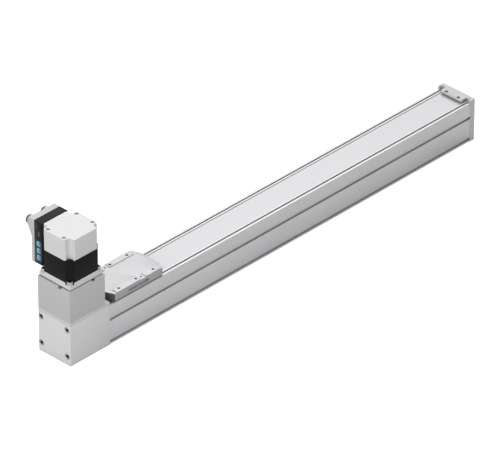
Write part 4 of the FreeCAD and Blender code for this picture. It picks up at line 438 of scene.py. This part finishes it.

# First the finish of each material slot of the record, then those of single pieces. A colour is a value
# or the name of a setting in the sidebar. A small number in stretch draws the grain out along that axis.
# Each finish also says how much shade is painted into its crevices and how far that painted shade reaches,
# in millimetres.
FINISHES = {
    "anodised_aluminium": dict(
        name="Extruded aluminium", colour="profile_colour", roughness=0.38, metallic=0.6,
        stretch=(0.02, 1, 1), fineness=1400, tone=0.10, relief=0.12, wear=0.5, painted_crevice_shade=0.3),
    "drive_aluminium": dict(
        name="Milled aluminium", colour="housing_colour", roughness=0.45, metallic=0.3,
        stretch=(1, 1, 0.25), fineness=1100, tone=0.07, wear=0.5),
    "cast_silver": dict(
        name="Silver paint", colour="cover_colour", roughness=0.5, metallic=0.1,
        fineness=1500, tone=0.05, spread=0.08, relief=0.16, wear=0.35, painted_crevice_shade=1.0, painted_shade_reach=6),
    "motor_black": dict(
        name="Black paint", colour="motor_colour", roughness=0.48, metallic=0.0, shine=0.12,
        fineness=1300, tone=0.25, relief=0.18, worn=(0.12, 0.12, 0.12), wear=0.5),
    "black_plastic": dict(
        name="Black plastic", colour=(0.020, 0.020, 0.021), roughness=0.55, metallic=0.0, shine=0.15,
        fineness=1800, tone=0.25, spread=0.08, relief=0.14, worn=(0.10, 0.10, 0.10)),
    "wiper_plastic": dict(
        name="Wiper plastic", colour=(0.10, 0.10, 0.103), roughness=0.6, metallic=0.0,
        fineness=1600, tone=0.2, spread=0.08, relief=0.14, worn=(0.2, 0.2, 0.2), wear=0.3, painted_crevice_shade=1.0,
        painted_shade_reach=3),
    "panel_black": dict(
        name="Panel gloss", colour="panel_colour", roughness=0.24, metallic=0.0, coat=0.05, shine=0.2,
        fineness=300, tone=0.15, spread=0.05, relief=0.02, worn=(0.05, 0.05, 0.05), wear=0.2),
    "window_blue": dict(
        name="Window blue", colour="window_colour", roughness=0.18, metallic=0.0, coat=0.3, glow=0.22,
        fade_across="panel_windows", fineness=500, tone=0.12, spread=0.05, relief=0.02,
        worn=(0.6, 0.8, 0.9), wear=0.3),
    "hardened_steel": dict(
        name="Ground steel", colour=(0.52, 0.52, 0.53), roughness=0.28, metallic=1.0,
        stretch=(0.05, 1, 1), fineness=1600, tone=0.12, spread=0.12, relief=0.08, wear=0.3),
    "zinc_steel": dict(
        name="Bright screw steel", colour=(0.62, 0.62, 0.63), roughness=0.38, metallic=0.6,
        fineness=1200, tone=0.15, spread=0.12, wear=0.6),
    "strip_steel": dict(
        name="Brushed strip", colour="strip_colour", roughness=0.36, metallic=0.45,
        stretch=(0.01, 1, 1), fineness=2200, tone=0.08, spread=0.12, relief=0.08, wear=0.2),
    "nickel_brass": dict(
        name="Nickel on brass", colour=(0.30, 0.30, 0.30), roughness=0.34, metallic=0.7,
        tone=0.12, relief=0.06, worn=(0.50, 0.49, 0.46)),
    "contact_gold": dict(
        name="Gold contact", colour=(0.78, 0.58, 0.25), roughness=0.22, metallic=1.0, tone=0.08, wear=0.3),
    "laminations": dict(
        name="Laminations", colour=(0.18, 0.18, 0.19), roughness=0.5, metallic=0.7,
        stretch=(1, 1, 12), fineness=1800, tone=0.3, spread=0.15, relief=0.3, wear=0.3),
    "magnet": dict(
        name="Magnet", colour=(0.38, 0.38, 0.40), roughness=0.3, metallic=0.9, wear=0.3),
    "board_green": dict(
        name="Circuit board", colour=(0.02, 0.13, 0.06), roughness=0.4, metallic=0.0, coat=0.2,
        fineness=600, tone=0.3, relief=0.2),
    "belt_rubber": dict(
        name="Belt rubber", colour=(0.03, 0.03, 0.032), roughness=0.75, metallic=0.0,
        stretch=(1, 1, 0.2), fineness=1500, tone=0.3, relief=0.3, worn=(0.08, 0.08, 0.08)),
    "buffer_rubber": dict(
        name="Buffer rubber", colour=(0.03, 0.03, 0.03), roughness=0.8, metallic=0.0,
        fineness=1500, tone=0.25, relief=0.2, worn=(0.07, 0.07, 0.07)),
    "spider_red": dict(
        name="Red elastomer", colour=(0.45, 0.05, 0.03), roughness=0.55, metallic=0.0,
        fineness=1000, tone=0.15),
    "coupling_housing": dict(
        name="Ground aluminium", colour="coupling_colour", roughness=0.42, metallic=0.3,
        stretch=(1, 1, 0.15), fineness=1200, tone=0.08, wear=0.5),
    "machined_band": dict(
        name="Machined band", colour="band_colour", roughness=0.42, metallic=0.3,
        stretch=(1, 1, 0.15), fineness=1200, tone=0.08, wear=0.3),
    "end_cap": dict(
        name="Cast end cap", colour="end_cap_colour", roughness=0.5, metallic=0.3,
        fineness=1200, tone=0.08, relief=0.14, wear=0.3, painted_crevice_shade=0.9, painted_shade_reach=4),
    "controller_lid": dict(
        name="Silver lid paint", colour="lid_colour", roughness=0.5, metallic=0.1,
        fineness=1500, tone=0.05, spread=0.08, relief=0.16, wear=0.35, painted_crevice_shade=0.8),
    "slide_table": dict(
        name="Slide aluminium", colour="slide_colour", roughness=0.42, metallic=0.3,
        stretch=(0.05, 1, 1), fineness=1300, tone=0.08, wear=0.5, painted_crevice_shade=1.0, painted_shade_reach=3),
    # The slide's sides: the top's finish, darker as painted shade
    "slide_shaded_sides": dict(
        name="Slide side", colour="slide_side_colour", roughness=0.45, metallic=0.3,
        stretch=(0.05, 1, 1), fineness=1300, tone=0.08, wear=0.5, painted_crevice_shade=1.0, painted_shade_reach=3),
    "window_field": dict(
        name="Window field", colour=(0.012, 0.040, 0.065), roughness=0.2, metallic=0.0, coat=0.2, shine=0.3,
        fineness=300, tone=0.15, spread=0.05, relief=0.02, worn=(0.04, 0.10, 0.15), wear=0.2),
    "panel_mark": dict(
        name="Panel mark", colour=(0.10, 0.11, 0.115), roughness=0.4, metallic=0.0,
        fineness=600, tone=0.15, spread=0.05, relief=0.02, worn=(0.16, 0.16, 0.16), wear=0.3),
}


def faded(tree, colour, low, high):
    """Darkens a colour towards the side of a box with the smaller Y, over that half of the box."""
    apart = node(tree, "ShaderNodeSeparateXYZ", {"Vector": object_place(tree)})
    fade = node(tree, "ShaderNodeMapRange", {
        "Value": apart.outputs["Y"], "From Min": low.y, "From Max": low.y + 0.5 * (high.y - low.y),
        "To Min": LENS_DIMMEST, "To Max": 1.0})
    return scaled(tree, colour, fade.outputs["Result"])


def make_material(name, colour, roughness, metallic, shine=0.5, coat=0.0, glow=0.0, fade_across=None,
                  stretch=(1, 1, 1), fineness=900, tone=0.1, spread=0.1, relief=0.1, worn=None, wear=0.4,
                  painted_crevice_shade=0.7, painted_shade_reach=5):
    """A finish of the axis: grain, then worn edges, then shade painted into crevices, then the shader
    itself.
    """
    material = bpy.data.materials.new(name)
    material.use_nodes = True
    tree = material.node_tree
    tree.nodes.clear()
    grained = effect(tree, "Metal grain", {
        "Colour": (*colour, 1), "Stretch": stretch, "Fineness": fineness, "Tone": tone,
        "Roughness": roughness, "Roughness spread": spread})
    edged = effect(tree, "Edge wear", {
        "Colour": grained["Colour"], "Roughness": grained["Roughness"],
        "Worn colour": (*(worn or [min(1, c * WORN_LIGHTER) for c in colour]), 1),
        "Amount": wear, "Reach": WEAR_REACH})
    # Painted shade: the colour is darkened where little open sky reaches, in slots, seams and recesses
    shown = effect(tree, "Crevice shade", {
        "Colour": edged["Colour"], "Amount": painted_crevice_shade, "Reach": painted_shade_reach * MM})["Colour"]
    if fade_across:
        shown = faded(tree, shown, *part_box(fade_across))
    bump = node(tree, "ShaderNodeBump", {
        "Strength": relief, "Distance": RELIEF_DEPTH, "Height": grained["Height"]})
    shader = node(tree, "ShaderNodeBsdfPrincipled", {
        "Base Color": shown, "Roughness": edged["Roughness"], "Normal": bump.outputs["Normal"],
        "Metallic": metallic, "Specular IOR Level": shine, "Coat Weight": coat,
        "Coat Roughness": COAT_ROUGHNESS})
    if glow:
        set_inputs(tree, shader, {"Emission Color": shown, "Emission Strength": glow})
    node(tree, "ShaderNodeOutputMaterial", {"Surface": shader.outputs["BSDF"]})
    return material


def material_for(finish):
    """The material of a finish, made when it is first asked for."""
    values = dict(FINISHES[finish])
    if values["name"] in bpy.data.materials:
        return bpy.data.materials[values["name"]]
    if isinstance(values["colour"], str):
        values["colour"] = getattr(look(), values["colour"])
    return make_material(**values)


# Settings in the sidebar

def look():
    return bpy.context.scene.linear_axis_look


class LinearAxisLook(bpy.types.PropertyGroup):
    """Sizes and colours that a user would change."""

    profile_colour: FloatVectorProperty(
        name="Profile", description="Colour of the extruded profile and its cover plate", subtype="COLOR",
        default=(0.72, 0.72, 0.73), min=0, max=1)
    housing_colour: FloatVectorProperty(
        name="Housings", description="Colour of the drive housing and the motor flange", subtype="COLOR",
        default=(0.86, 0.86, 0.86), min=0, max=1)
    coupling_colour: FloatVectorProperty(
        name="Coupling housing", description="Colour of the housing between drive and motor",
        subtype="COLOR", default=(0.62, 0.62, 0.62), min=0, max=1)
    band_colour: FloatVectorProperty(
        name="Machined band", description="Colour of the band round the drive housing's top",
        subtype="COLOR", default=(0.72, 0.72, 0.72), min=0, max=1)
    end_cap_colour: FloatVectorProperty(
        name="End cap", description="Colour of the cap at the far end", subtype="COLOR",
        default=(0.62, 0.62, 0.62), min=0, max=1)
    cover_colour: FloatVectorProperty(
        name="Covers", description="Colour of the motor's painted cover", subtype="COLOR",
        default=(0.78, 0.78, 0.79), min=0, max=1)
    lid_colour: FloatVectorProperty(
        name="Controller lid", description="Colour of the controller's lid", subtype="COLOR",
        default=(0.60, 0.60, 0.61), min=0, max=1)
    slide_colour: FloatVectorProperty(
        name="Slide", description="Colour of the slide table", subtype="COLOR",
        default=(0.67, 0.67, 0.68), min=0, max=1)
    # The slide's sides are the same metal as its top; their darker colour is painted shade
    slide_side_colour: FloatVectorProperty(
        name="Slide sides", description="Colour of the slide table's milled sides", subtype="COLOR",
        default=(0.46, 0.46, 0.47), min=0, max=1)
    strip_colour: FloatVectorProperty(
        name="Cover strip", description="Colour of the steel strip on the profile", subtype="COLOR",
        default=(0.62, 0.62, 0.63), min=0, max=1)
    motor_colour: FloatVectorProperty(
        name="Motor body", description="Colour of the motor's painted body", subtype="COLOR",
        default=(0.009, 0.009, 0.0095), min=0, max=1)
    panel_colour: FloatVectorProperty(
        name="Panel", description="Colour of the operator panel", subtype="COLOR",
        default=(0.012, 0.012, 0.012), min=0, max=1)
    window_colour: FloatVectorProperty(
        name="Windows", description="Colour of the panel's windows", subtype="COLOR",
        default=(0.22, 0.46, 0.66), min=0, max=1)
    edge_softness: FloatProperty(
        name="Edge softness", description="Width of the small bevel on machined edges", unit="LENGTH",
        default=0.3 * MM, min=0.05 * MM, max=1 * MM)
    tab_slope: FloatProperty(
        name="Tab slope", description="Width of the slope along the end cap's tab", unit="LENGTH",
        default=1.6 * MM, min=0.2 * MM, max=3 * MM)
    lid_rounding: FloatProperty(
        name="Lid rounding", description="Rounding of the lid's outer edges", unit="LENGTH",
        default=2.2 * MM, min=0.5 * MM, max=4 * MM)
    thread_turns: IntProperty(
        name="Thread turns", description="Ridges on each round socket", default=4, min=2, max=8)


# The pieces

class LINEARAXIS_OT_finishes(bpy.types.Operator):
    """Gives every CAD piece its finish"""

    bl_idname = "linear_axis.finishes"
    bl_label = "Finishes"

    def execute(self, context):
        for name, thing in frame["nodes"].items():
            material = material_for(SLOT_OF[name])
            for place in thing.material_slots:
                place.material = material
            if not thing.material_slots:
                thing.data.materials.append(material)
        return {"FINISHED"}


class LINEARAXIS_OT_profile(bpy.types.Operator):
    """Softens the profile and its cover plate"""

    bl_idname = "linear_axis.profile"
    bl_label = "Profile and cover"

    def execute(self, context):
        dressed("profile_extrusion", "axis_profile", softness=0.6, shortest=20)
        dressed("cover_plate_edges", "cover_plate", softness=0.5, shortest=20)
        return {"FINISHED"}


class LINEARAXIS_OT_housings(bpy.types.Operator):
    """Softens the drive housing, the coupling housing, the motor flange and the end cap"""

    bl_idname = "linear_axis.housings"
    bl_label = "Housings"

    # Height at which the machined band of the drive housing starts
    BAND_START = 61.9 * MM

    def execute(self, context):
        housing = dressed("drive_housing_block", "drive_housing", softness=1.3, shortest=3)
        self.band(housing)
        dressed("coupling_housing_block", "coupling_housing", softness=1.3, shortest=3,
                finish="coupling_housing")
        self.cap()
        dressed("motor_flange_plate", "motor_flange")
        return {"FINISHED"}

    def band(self, housing):
        """Gives everything above a level the finish of the machined band."""
        bm = bmesh.new()
        bm.from_mesh(housing.data)
        bmesh.ops.bisect_plane(bm, geom=bm.verts[:] + bm.edges[:] + bm.faces[:], dist=0.001 * MM,
                               plane_co=(0, 0, self.BAND_START), plane_no=(0, 0, 1))
        housing.data.materials.append(material_for("machined_band"))
        for face in bm.faces:
            face.material_index = int(face.calc_center_median().z > self.BAND_START)
        bm.to_mesh(housing.data)
        bm.free()

    def cap(self):
        """The end cap, with a slope along the front of its tab."""
        near, shortest_crest, shortest_other = 0.1 * MM, 10 * MM, 3 * MM
        bm = merged_copy("end_cap")
        front = min(v.co.x for v in bm.verts) + near
        top = max(v.co.z for v in bm.verts) - near
        crest = [e for e in long_sharp_edges(bm, shortest_crest)
                 if all(v.co.x < front and v.co.z > top for v in e.verts)]
        bevel(bm, crest, look().tab_slope, 1)
        soften(bm, look().edge_softness, shortest_other)
        place_piece("end_cap_block", bm, "frame", "drive_aluminium", ("end_cap",), "end_cap")


class LINEARAXIS_OT_motor(bpy.types.Operator):
    """Softens the motor's body and its cast cover"""

    bl_idname = "linear_axis.motor"
    bl_label = "Motor"

    def execute(self, context):
        dressed("motor_body", "motor_casing", softness=1.5, shortest=3, segments=3)
        dressed("motor_cover", "encoder_cover", softness=2, segments=3)
        return {"FINISHED"}


class LINEARAXIS_OT_controller(bpy.types.Operator):
    """Softens the controller's frame and lid, and makes the panel with its windows"""

    bl_idname = "linear_axis.controller"
    bl_label = "Controller"

    # Thickness of what lies on the panel, half of it sunk in the panel's face
    SKIN = 0.08 * MM

    def execute(self, context):
        dressed("controller_tray", "controller_frame", softness=1.5)
        self.lid()
        dressed("operator_panel_plate", "operator_panel", shortest=1)
        boxes = solid_boxes("panel_windows")
        self.lenses(boxes)
        self.field(boxes)
        self.marks(boxes)
        return {"FINISHED"}

    def lid(self):
        """The cast lid: wide rounding on its outer edges, a small one on the rest."""
        near, shortest_outer, shortest_other = 0.5 * MM, 6 * MM, 2.5 * MM
        bm = merged_copy("controller_cover")
        outer = max(v.co.y for v in bm.verts) - near
        rounded = [e for e in long_sharp_edges(bm, shortest_outer)
                   if e.is_convex and all(v.co.y > outer for v in e.verts)]
        bevel(bm, rounded, look().lid_rounding, 5)
        soften(bm, 2.5 * look().edge_softness, shortest_other, 3)
        place_piece("controller_lid", bm, "frame", "cast_silver", ("controller_cover",), "controller_lid")

    def lenses(self, boxes):
        """A rounded lens for each window, with a thin ring on it."""
        narrower, corner = 1.8 * MM, 1.6 * MM
        outside, inside, height = 1.5 * MM, 1.0 * MM, 0.06 * MM
        section = [(outside, 0), (outside, height), (inside, height), (inside, 0)]
        lenses, rings = [], []
        for low, high in boxes:
            high = Vector((high.x, high.y - narrower, high.z))
            middle = (low + high) / 2
            lenses.append(block(high - low, middle, corner))
            rings.append(stood(turned(section, RING_SEGMENTS, closed=False),
                               Vector((low.x, middle.y, middle.z)), AWAY["back"]))
        place_piece("window_lenses", gathered(lenses), "frame", "window_blue", ("panel_windows",))
        place_piece("window_rings", gathered(rings), "frame", "panel_black")

    def field(self, boxes):
        """The dark blue field behind the windows."""
        width, past_windows, aside, corner = 11.6 * MM, 3 * MM, 0.4 * MM, 2.2 * MM
        low, high = boxes[0][0], boxes[-1][1]
        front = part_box("operator_panel")[0].x
        field = block(Vector((self.SKIN, width, high.z - low.z + past_windows)),
                      Vector((front, (low.y + high.y) / 2 - aside, (low.z + high.z) / 2)), corner)
        place_piece("window_field", field, "frame", "window_blue", finish="window_field")

    def marks(self, boxes):
        """The bare bar above the windows, and the light line below the panel's top."""
        top_window = (boxes[-1][0] + boxes[-1][1]) / 2
        low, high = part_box("operator_panel")
        bar_width, bar_length, bar_aside, bar_above = 2.2 * MM, 7.5 * MM, 1.2 * MM, 15.7 * MM
        line_width, line_length, line_aside, line_below = 0.9 * MM, 9.5 * MM, 2.8 * MM, 1.2 * MM
        bar = block(Vector((self.SKIN, bar_width, bar_length)),
                    Vector((low.x, top_window.y - bar_aside, top_window.z + bar_above)), 0.4 * MM)
        line = block(Vector((self.SKIN, line_width, line_length)),
                     Vector((low.x, top_window.y + line_aside, high.z - line_below - line_length / 2)),
                     0.3 * MM)
        place_piece("panel_marks", gathered([bar, line]), "frame", "panel_black", finish="panel_mark")


class LINEARAXIS_OT_slide(bpy.types.Operator):
    """Softens the slide table and its end wipers, and paints shade on the table's sides with a darker copy
    of its finish
    """

    bl_idname = "linear_axis.slide"
    bl_label = "Slide"

    # A face whose normal has a smaller Z than this belongs to the sides, which are given painted shade
    FACES_UP = 0.5

    def execute(self, context):
        table = dressed("slide_table", "slide_plate", shortest=2, finish="slide_table")
        # Painted shade: faces that do not face up get the darker finish of the sides
        table.data.materials.append(material_for("slide_shaded_sides"))
        for face in table.data.polygons:
            face.material_index = int(face.normal.z < self.FACES_UP)
        dressed("slide_end_wipers", "slide_wipers", shortest=2)
        return {"FINISHED"}


class LINEARAXIS_OT_screws(bpy.types.Operator):
    """Makes every screw head that shows"""

    bl_idname = "linear_axis.screws"
    bl_label = "Screws"

    def execute(self, context):
        for row in SCREW_SETS:
            screw_set(*row)
        return {"FINISHED"}


class LINEARAXIS_OT_sockets(bpy.types.Operator):
    """Makes the round cable sockets with their threads, seals and inserts"""

    bl_idname = "linear_axis.sockets"
    bl_label = "Round sockets"

    # Radii, then lengths along the socket. Its mouth is at 0 and it points up until it is stood in place
    ROOT_RADIUS, CREST, VALLEY, BORE = 5.2 * MM, 6.35 * MM, 5.85 * MM, 4.6 * MM
    ROOT, COLLAR, LIP, DEPTH = 6 * MM, 1.2 * MM, 0.35 * MM, 8.5 * MM

    def execute(self, context):
        for name, node_name in (("power_socket", "power_connector"), ("signal_socket", "signal_connector")):
            low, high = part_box(node_name)
            mouth = Vector(((low.x + high.x) / 2, high.y, (low.z + high.z) / 2))
            length = high.y - low.y
            sleeve = self.sleeve((high.x - low.x) / 2, length)
            seal = self.seal(self.ROOT - length + self.COLLAR)
            for piece, bm, slot, replaced in (
                (name, sleeve, "nickel_brass", (node_name,)),
                (f"{name}_insert", self.insert(), "black_plastic", ()),
                (f"{name}_seal", seal, "buffer_rubber", ()),
            ):
                place_piece(piece, stood(bm, mouth, AWAY["far_side"]), "frame", slot, replaced)
        return {"FINISHED"}

    def sleeve(self, radius, length):
        """Root, knurled collar, ridges of the thread, lip and bore."""
        foot = self.ROOT - length
        top = foot + self.COLLAR
        knurl = 0.25 * MM
        rings = [
            (self.ROOT_RADIUS, -length), (self.ROOT_RADIUS, foot), (radius, foot),
            (radius, foot + 0.25 * MM, 0, knurl), (radius, top - 0.35 * MM, 0, knurl),
            (radius - 0.3 * MM, top), (self.VALLEY, top),
        ]
        turns = look().thread_turns
        pitch = (-self.LIP - foot - self.COLLAR) / turns
        for i in range(turns):
            start = top + i * pitch
            rings += [(self.CREST, start + 0.35 * pitch), (self.CREST, start + 0.65 * pitch),
                      (self.VALLEY, start + pitch)]
        rings += [
            (self.CREST - 0.3 * MM, -0.1 * MM), (self.CREST - 0.5 * MM, 0), (self.BORE + 0.25 * MM, 0),
            (self.BORE, -0.25 * MM), (self.BORE, -self.DEPTH), (0.5 * MM, -self.DEPTH),
        ]
        return turned(rings, SLEEVE_SEGMENTS)

    def insert(self):
        """The black insert at the bore's bottom, with its key along the bore."""
        outside, step_in = self.BORE - 0.05 * MM, self.BORE - 1.0 * MM
        bottom, step, top = -self.DEPTH + 0.1 * MM, -self.DEPTH + 1.4 * MM, -self.DEPTH + 2.0 * MM
        disc = turned([(outside, bottom), (outside, step), (step_in, step), (step_in, top)], RING_SEGMENTS)
        key_size = (1.2 * MM, 0.9 * MM, 5 * MM)
        key_place = (0, self.BORE - 0.5 * MM, -self.DEPTH + 3.5 * MM)
        return gathered([disc, block(key_size, key_place)])

    def seal(self, level):
        """A round ring of rubber that lies on the collar, around the thread."""
        thickness, past_thread, above_collar = 0.3 * MM, 0.2 * MM, 0.15 * MM
        bm = bmesh.new()
        bmesh.ops.create_circle(bm, cap_ends=False, radius=thickness, segments=10)
        bmesh.ops.rotate(bm, cent=(0, 0, 0), matrix=Matrix.Rotation(math.pi / 2, 3, "X"), verts=bm.verts)
        bmesh.ops.translate(bm, vec=(self.CREST + past_thread, 0, level + above_collar), verts=bm.verts)
        bmesh.ops.spin(bm, geom=bm.verts[:] + bm.edges[:], cent=(0, 0, 0), axis=(0, 0, 1),
                       angle=math.tau, steps=36, use_merge=True)
        bmesh.ops.recalc_face_normals(bm, faces=bm.faces)
        return bm


# The stage, in metres

AXIS_MIDDLE = 0.36
FLOOR_REACH = 14
FLOOR_DROP = 0.02 * MM

# How bright the floor is to the camera and in reflections, and the room's light
FLOOR_SEEN = 0.75
FLOOR_MIRRORED = 0.12
ROOM_LIGHT = 0.35

# Name, place, aim, width and power of each lamp
LAMPS = (
    ("overhead", (0.5, 0.3, 3.2), (AXIS_MIDDLE, 0, 0), 3.2, 50),
    ("back", (2.6, 2.8, 2.6), (AXIS_MIDDLE, 0, 0), 3.0, 32),
    ("left", (-3.0, -0.6, 1.6), (0.2, 0, 0.05), 2.4, 44),
    ("right", (0.8, -3.2, 1.2), (AXIS_MIDDLE, 0, 0.05), 2.2, 1.2),
    ("near_side", (0.34, -0.9, 0.5), (0.34, 0, 0.04), 0.5, 0.6),
)

CAMERA_PLACE = (-4.9599, -5.1315, 4.7885)
CAMERA_RIGHT = Vector((0.69579644, -0.71823904, 0))
CAMERA_BACK = Vector((-0.60378649, -0.58492015, 0.54158129))
CAMERA_LENS = 468
CAMERA_SENSOR = 36


class LINEARAXIS_OT_stage(bpy.types.Operator):
    """Sets the floor, the soft lights and the camera"""

    bl_idname = "linear_axis.stage"
    bl_label = "Stage"

    def execute(self, context):
        self.floor(context.scene)
        self.lights(context.scene)
        self.camera(context.scene)
        return {"FINISHED"}

    def floor(self, scene):
        """A wide pale floor, just under the axis."""
        bm = bmesh.new()
        bmesh.ops.create_grid(bm, x_segments=1, y_segments=1, size=FLOOR_REACH)
        bmesh.ops.translate(bm, vec=(AXIS_MIDDLE, 0, -FLOOR_DROP), verts=bm.verts)
        mesh = bpy.data.meshes.new("studio_floor")
        bm.to_mesh(mesh)
        bm.free()
        floor = bpy.data.objects.new("studio_floor", mesh)
        scene.collection.objects.link(floor)
        material = bpy.data.materials.new("Studio floor")
        material.use_nodes = True
        tree = material.node_tree
        ray = node(tree, "ShaderNodeLightPath").outputs
        seen = calc(tree, "MULTIPLY", ray["Is Camera Ray"], FLOOR_SEEN)
        mirrored = calc(tree, "MULTIPLY", ray["Is Glossy Ray"], FLOOR_MIRRORED)
        set_inputs(tree, tree.nodes["Principled BSDF"], {
            "Base Color": (0.6, 0.6, 0.6, 1), "Roughness": 0.9, "Emission Color": (1, 1, 1, 1),
            "Emission Strength": calc(tree, "ADD", seen, mirrored)})
        mesh.materials.append(material)

    def lights(self, scene):
        """An even white room and large soft lamps."""
        world = bpy.data.worlds.new("Soft studio")
        world.use_nodes = True
        set_inputs(world.node_tree, world.node_tree.nodes["Background"], {
            "Color": (1, 1, 1, 1), "Strength": ROOM_LIGHT})
        scene.world = world
        for name, place, aim, width, power in LAMPS:
            lamp = bpy.data.lights.new(name, "AREA")
            lamp.shape = "DISK"
            lamp.size = width
            lamp.energy = power
            light = bpy.data.objects.new(name, lamp)
            light.location = place
            direction = Vector(aim) - Vector(place)
            light.rotation_euler = direction.to_track_quat("-Z", "Y").to_euler()
            scene.collection.objects.link(light)

    def camera(self, scene):
        """The photograph's view: a long lens from the drive end's near corner."""
        data = bpy.data.cameras.new("photo_view")
        data.sensor_width = CAMERA_SENSOR
        data.lens = CAMERA_LENS
        data.clip_start = 1
        data.clip_end = 100
        camera = bpy.data.objects.new("photo_view", data)
        camera.location = CAMERA_PLACE
        camera.rotation_mode = "QUATERNION"
        axes = (CAMERA_RIGHT, CAMERA_BACK.cross(CAMERA_RIGHT), CAMERA_BACK)
        camera.rotation_quaternion = Matrix(axes).transposed().to_quaternion()
        scene.collection.objects.link(camera)
        scene.camera = camera
        scene.view_settings.view_transform = "Standard"


class LINEARAXIS_PT_pieces(bpy.types.Panel):
    """Lists the pieces of the axis"""

    bl_idname = "LINEARAXIS_PT_pieces"
    bl_label = "Linear axis"
    bl_space_type = "VIEW_3D"
    bl_region_type = "UI"
    bl_category = "Linear axis"

    def draw(self, context):
        values = context.scene.linear_axis_look
        for name in LinearAxisLook.__annotations__:
            self.layout.prop(values, name)
        for maker in MAKERS:
            self.layout.operator(maker.bl_idname)


# In the order in which they run
MAKERS = (
    LINEARAXIS_OT_finishes,
    LINEARAXIS_OT_profile,
    LINEARAXIS_OT_housings,
    LINEARAXIS_OT_motor,
    LINEARAXIS_OT_controller,
    LINEARAXIS_OT_slide,
    LINEARAXIS_OT_screws,
    LINEARAXIS_OT_sockets,
    LINEARAXIS_OT_stage,
)


def register():
    for item in (LinearAxisLook, *MAKERS, LINEARAXIS_PT_pieces):
        bpy.utils.register_class(item)
    bpy.types.Scene.linear_axis_look = PointerProperty(type=LinearAxisLook)


def unregister():
    del bpy.types.Scene.linear_axis_look
    for item in reversed((LinearAxisLook, *MAKERS, LINEARAXIS_PT_pieces)):
        bpy.utils.unregister_class(item)


def main():
    """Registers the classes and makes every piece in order."""
    register()
    for maker in MAKERS:
        group, call = maker.bl_idname.split(".")
        getattr(getattr(bpy.ops, group), call)()


if __name__ == "__main__":
    main()
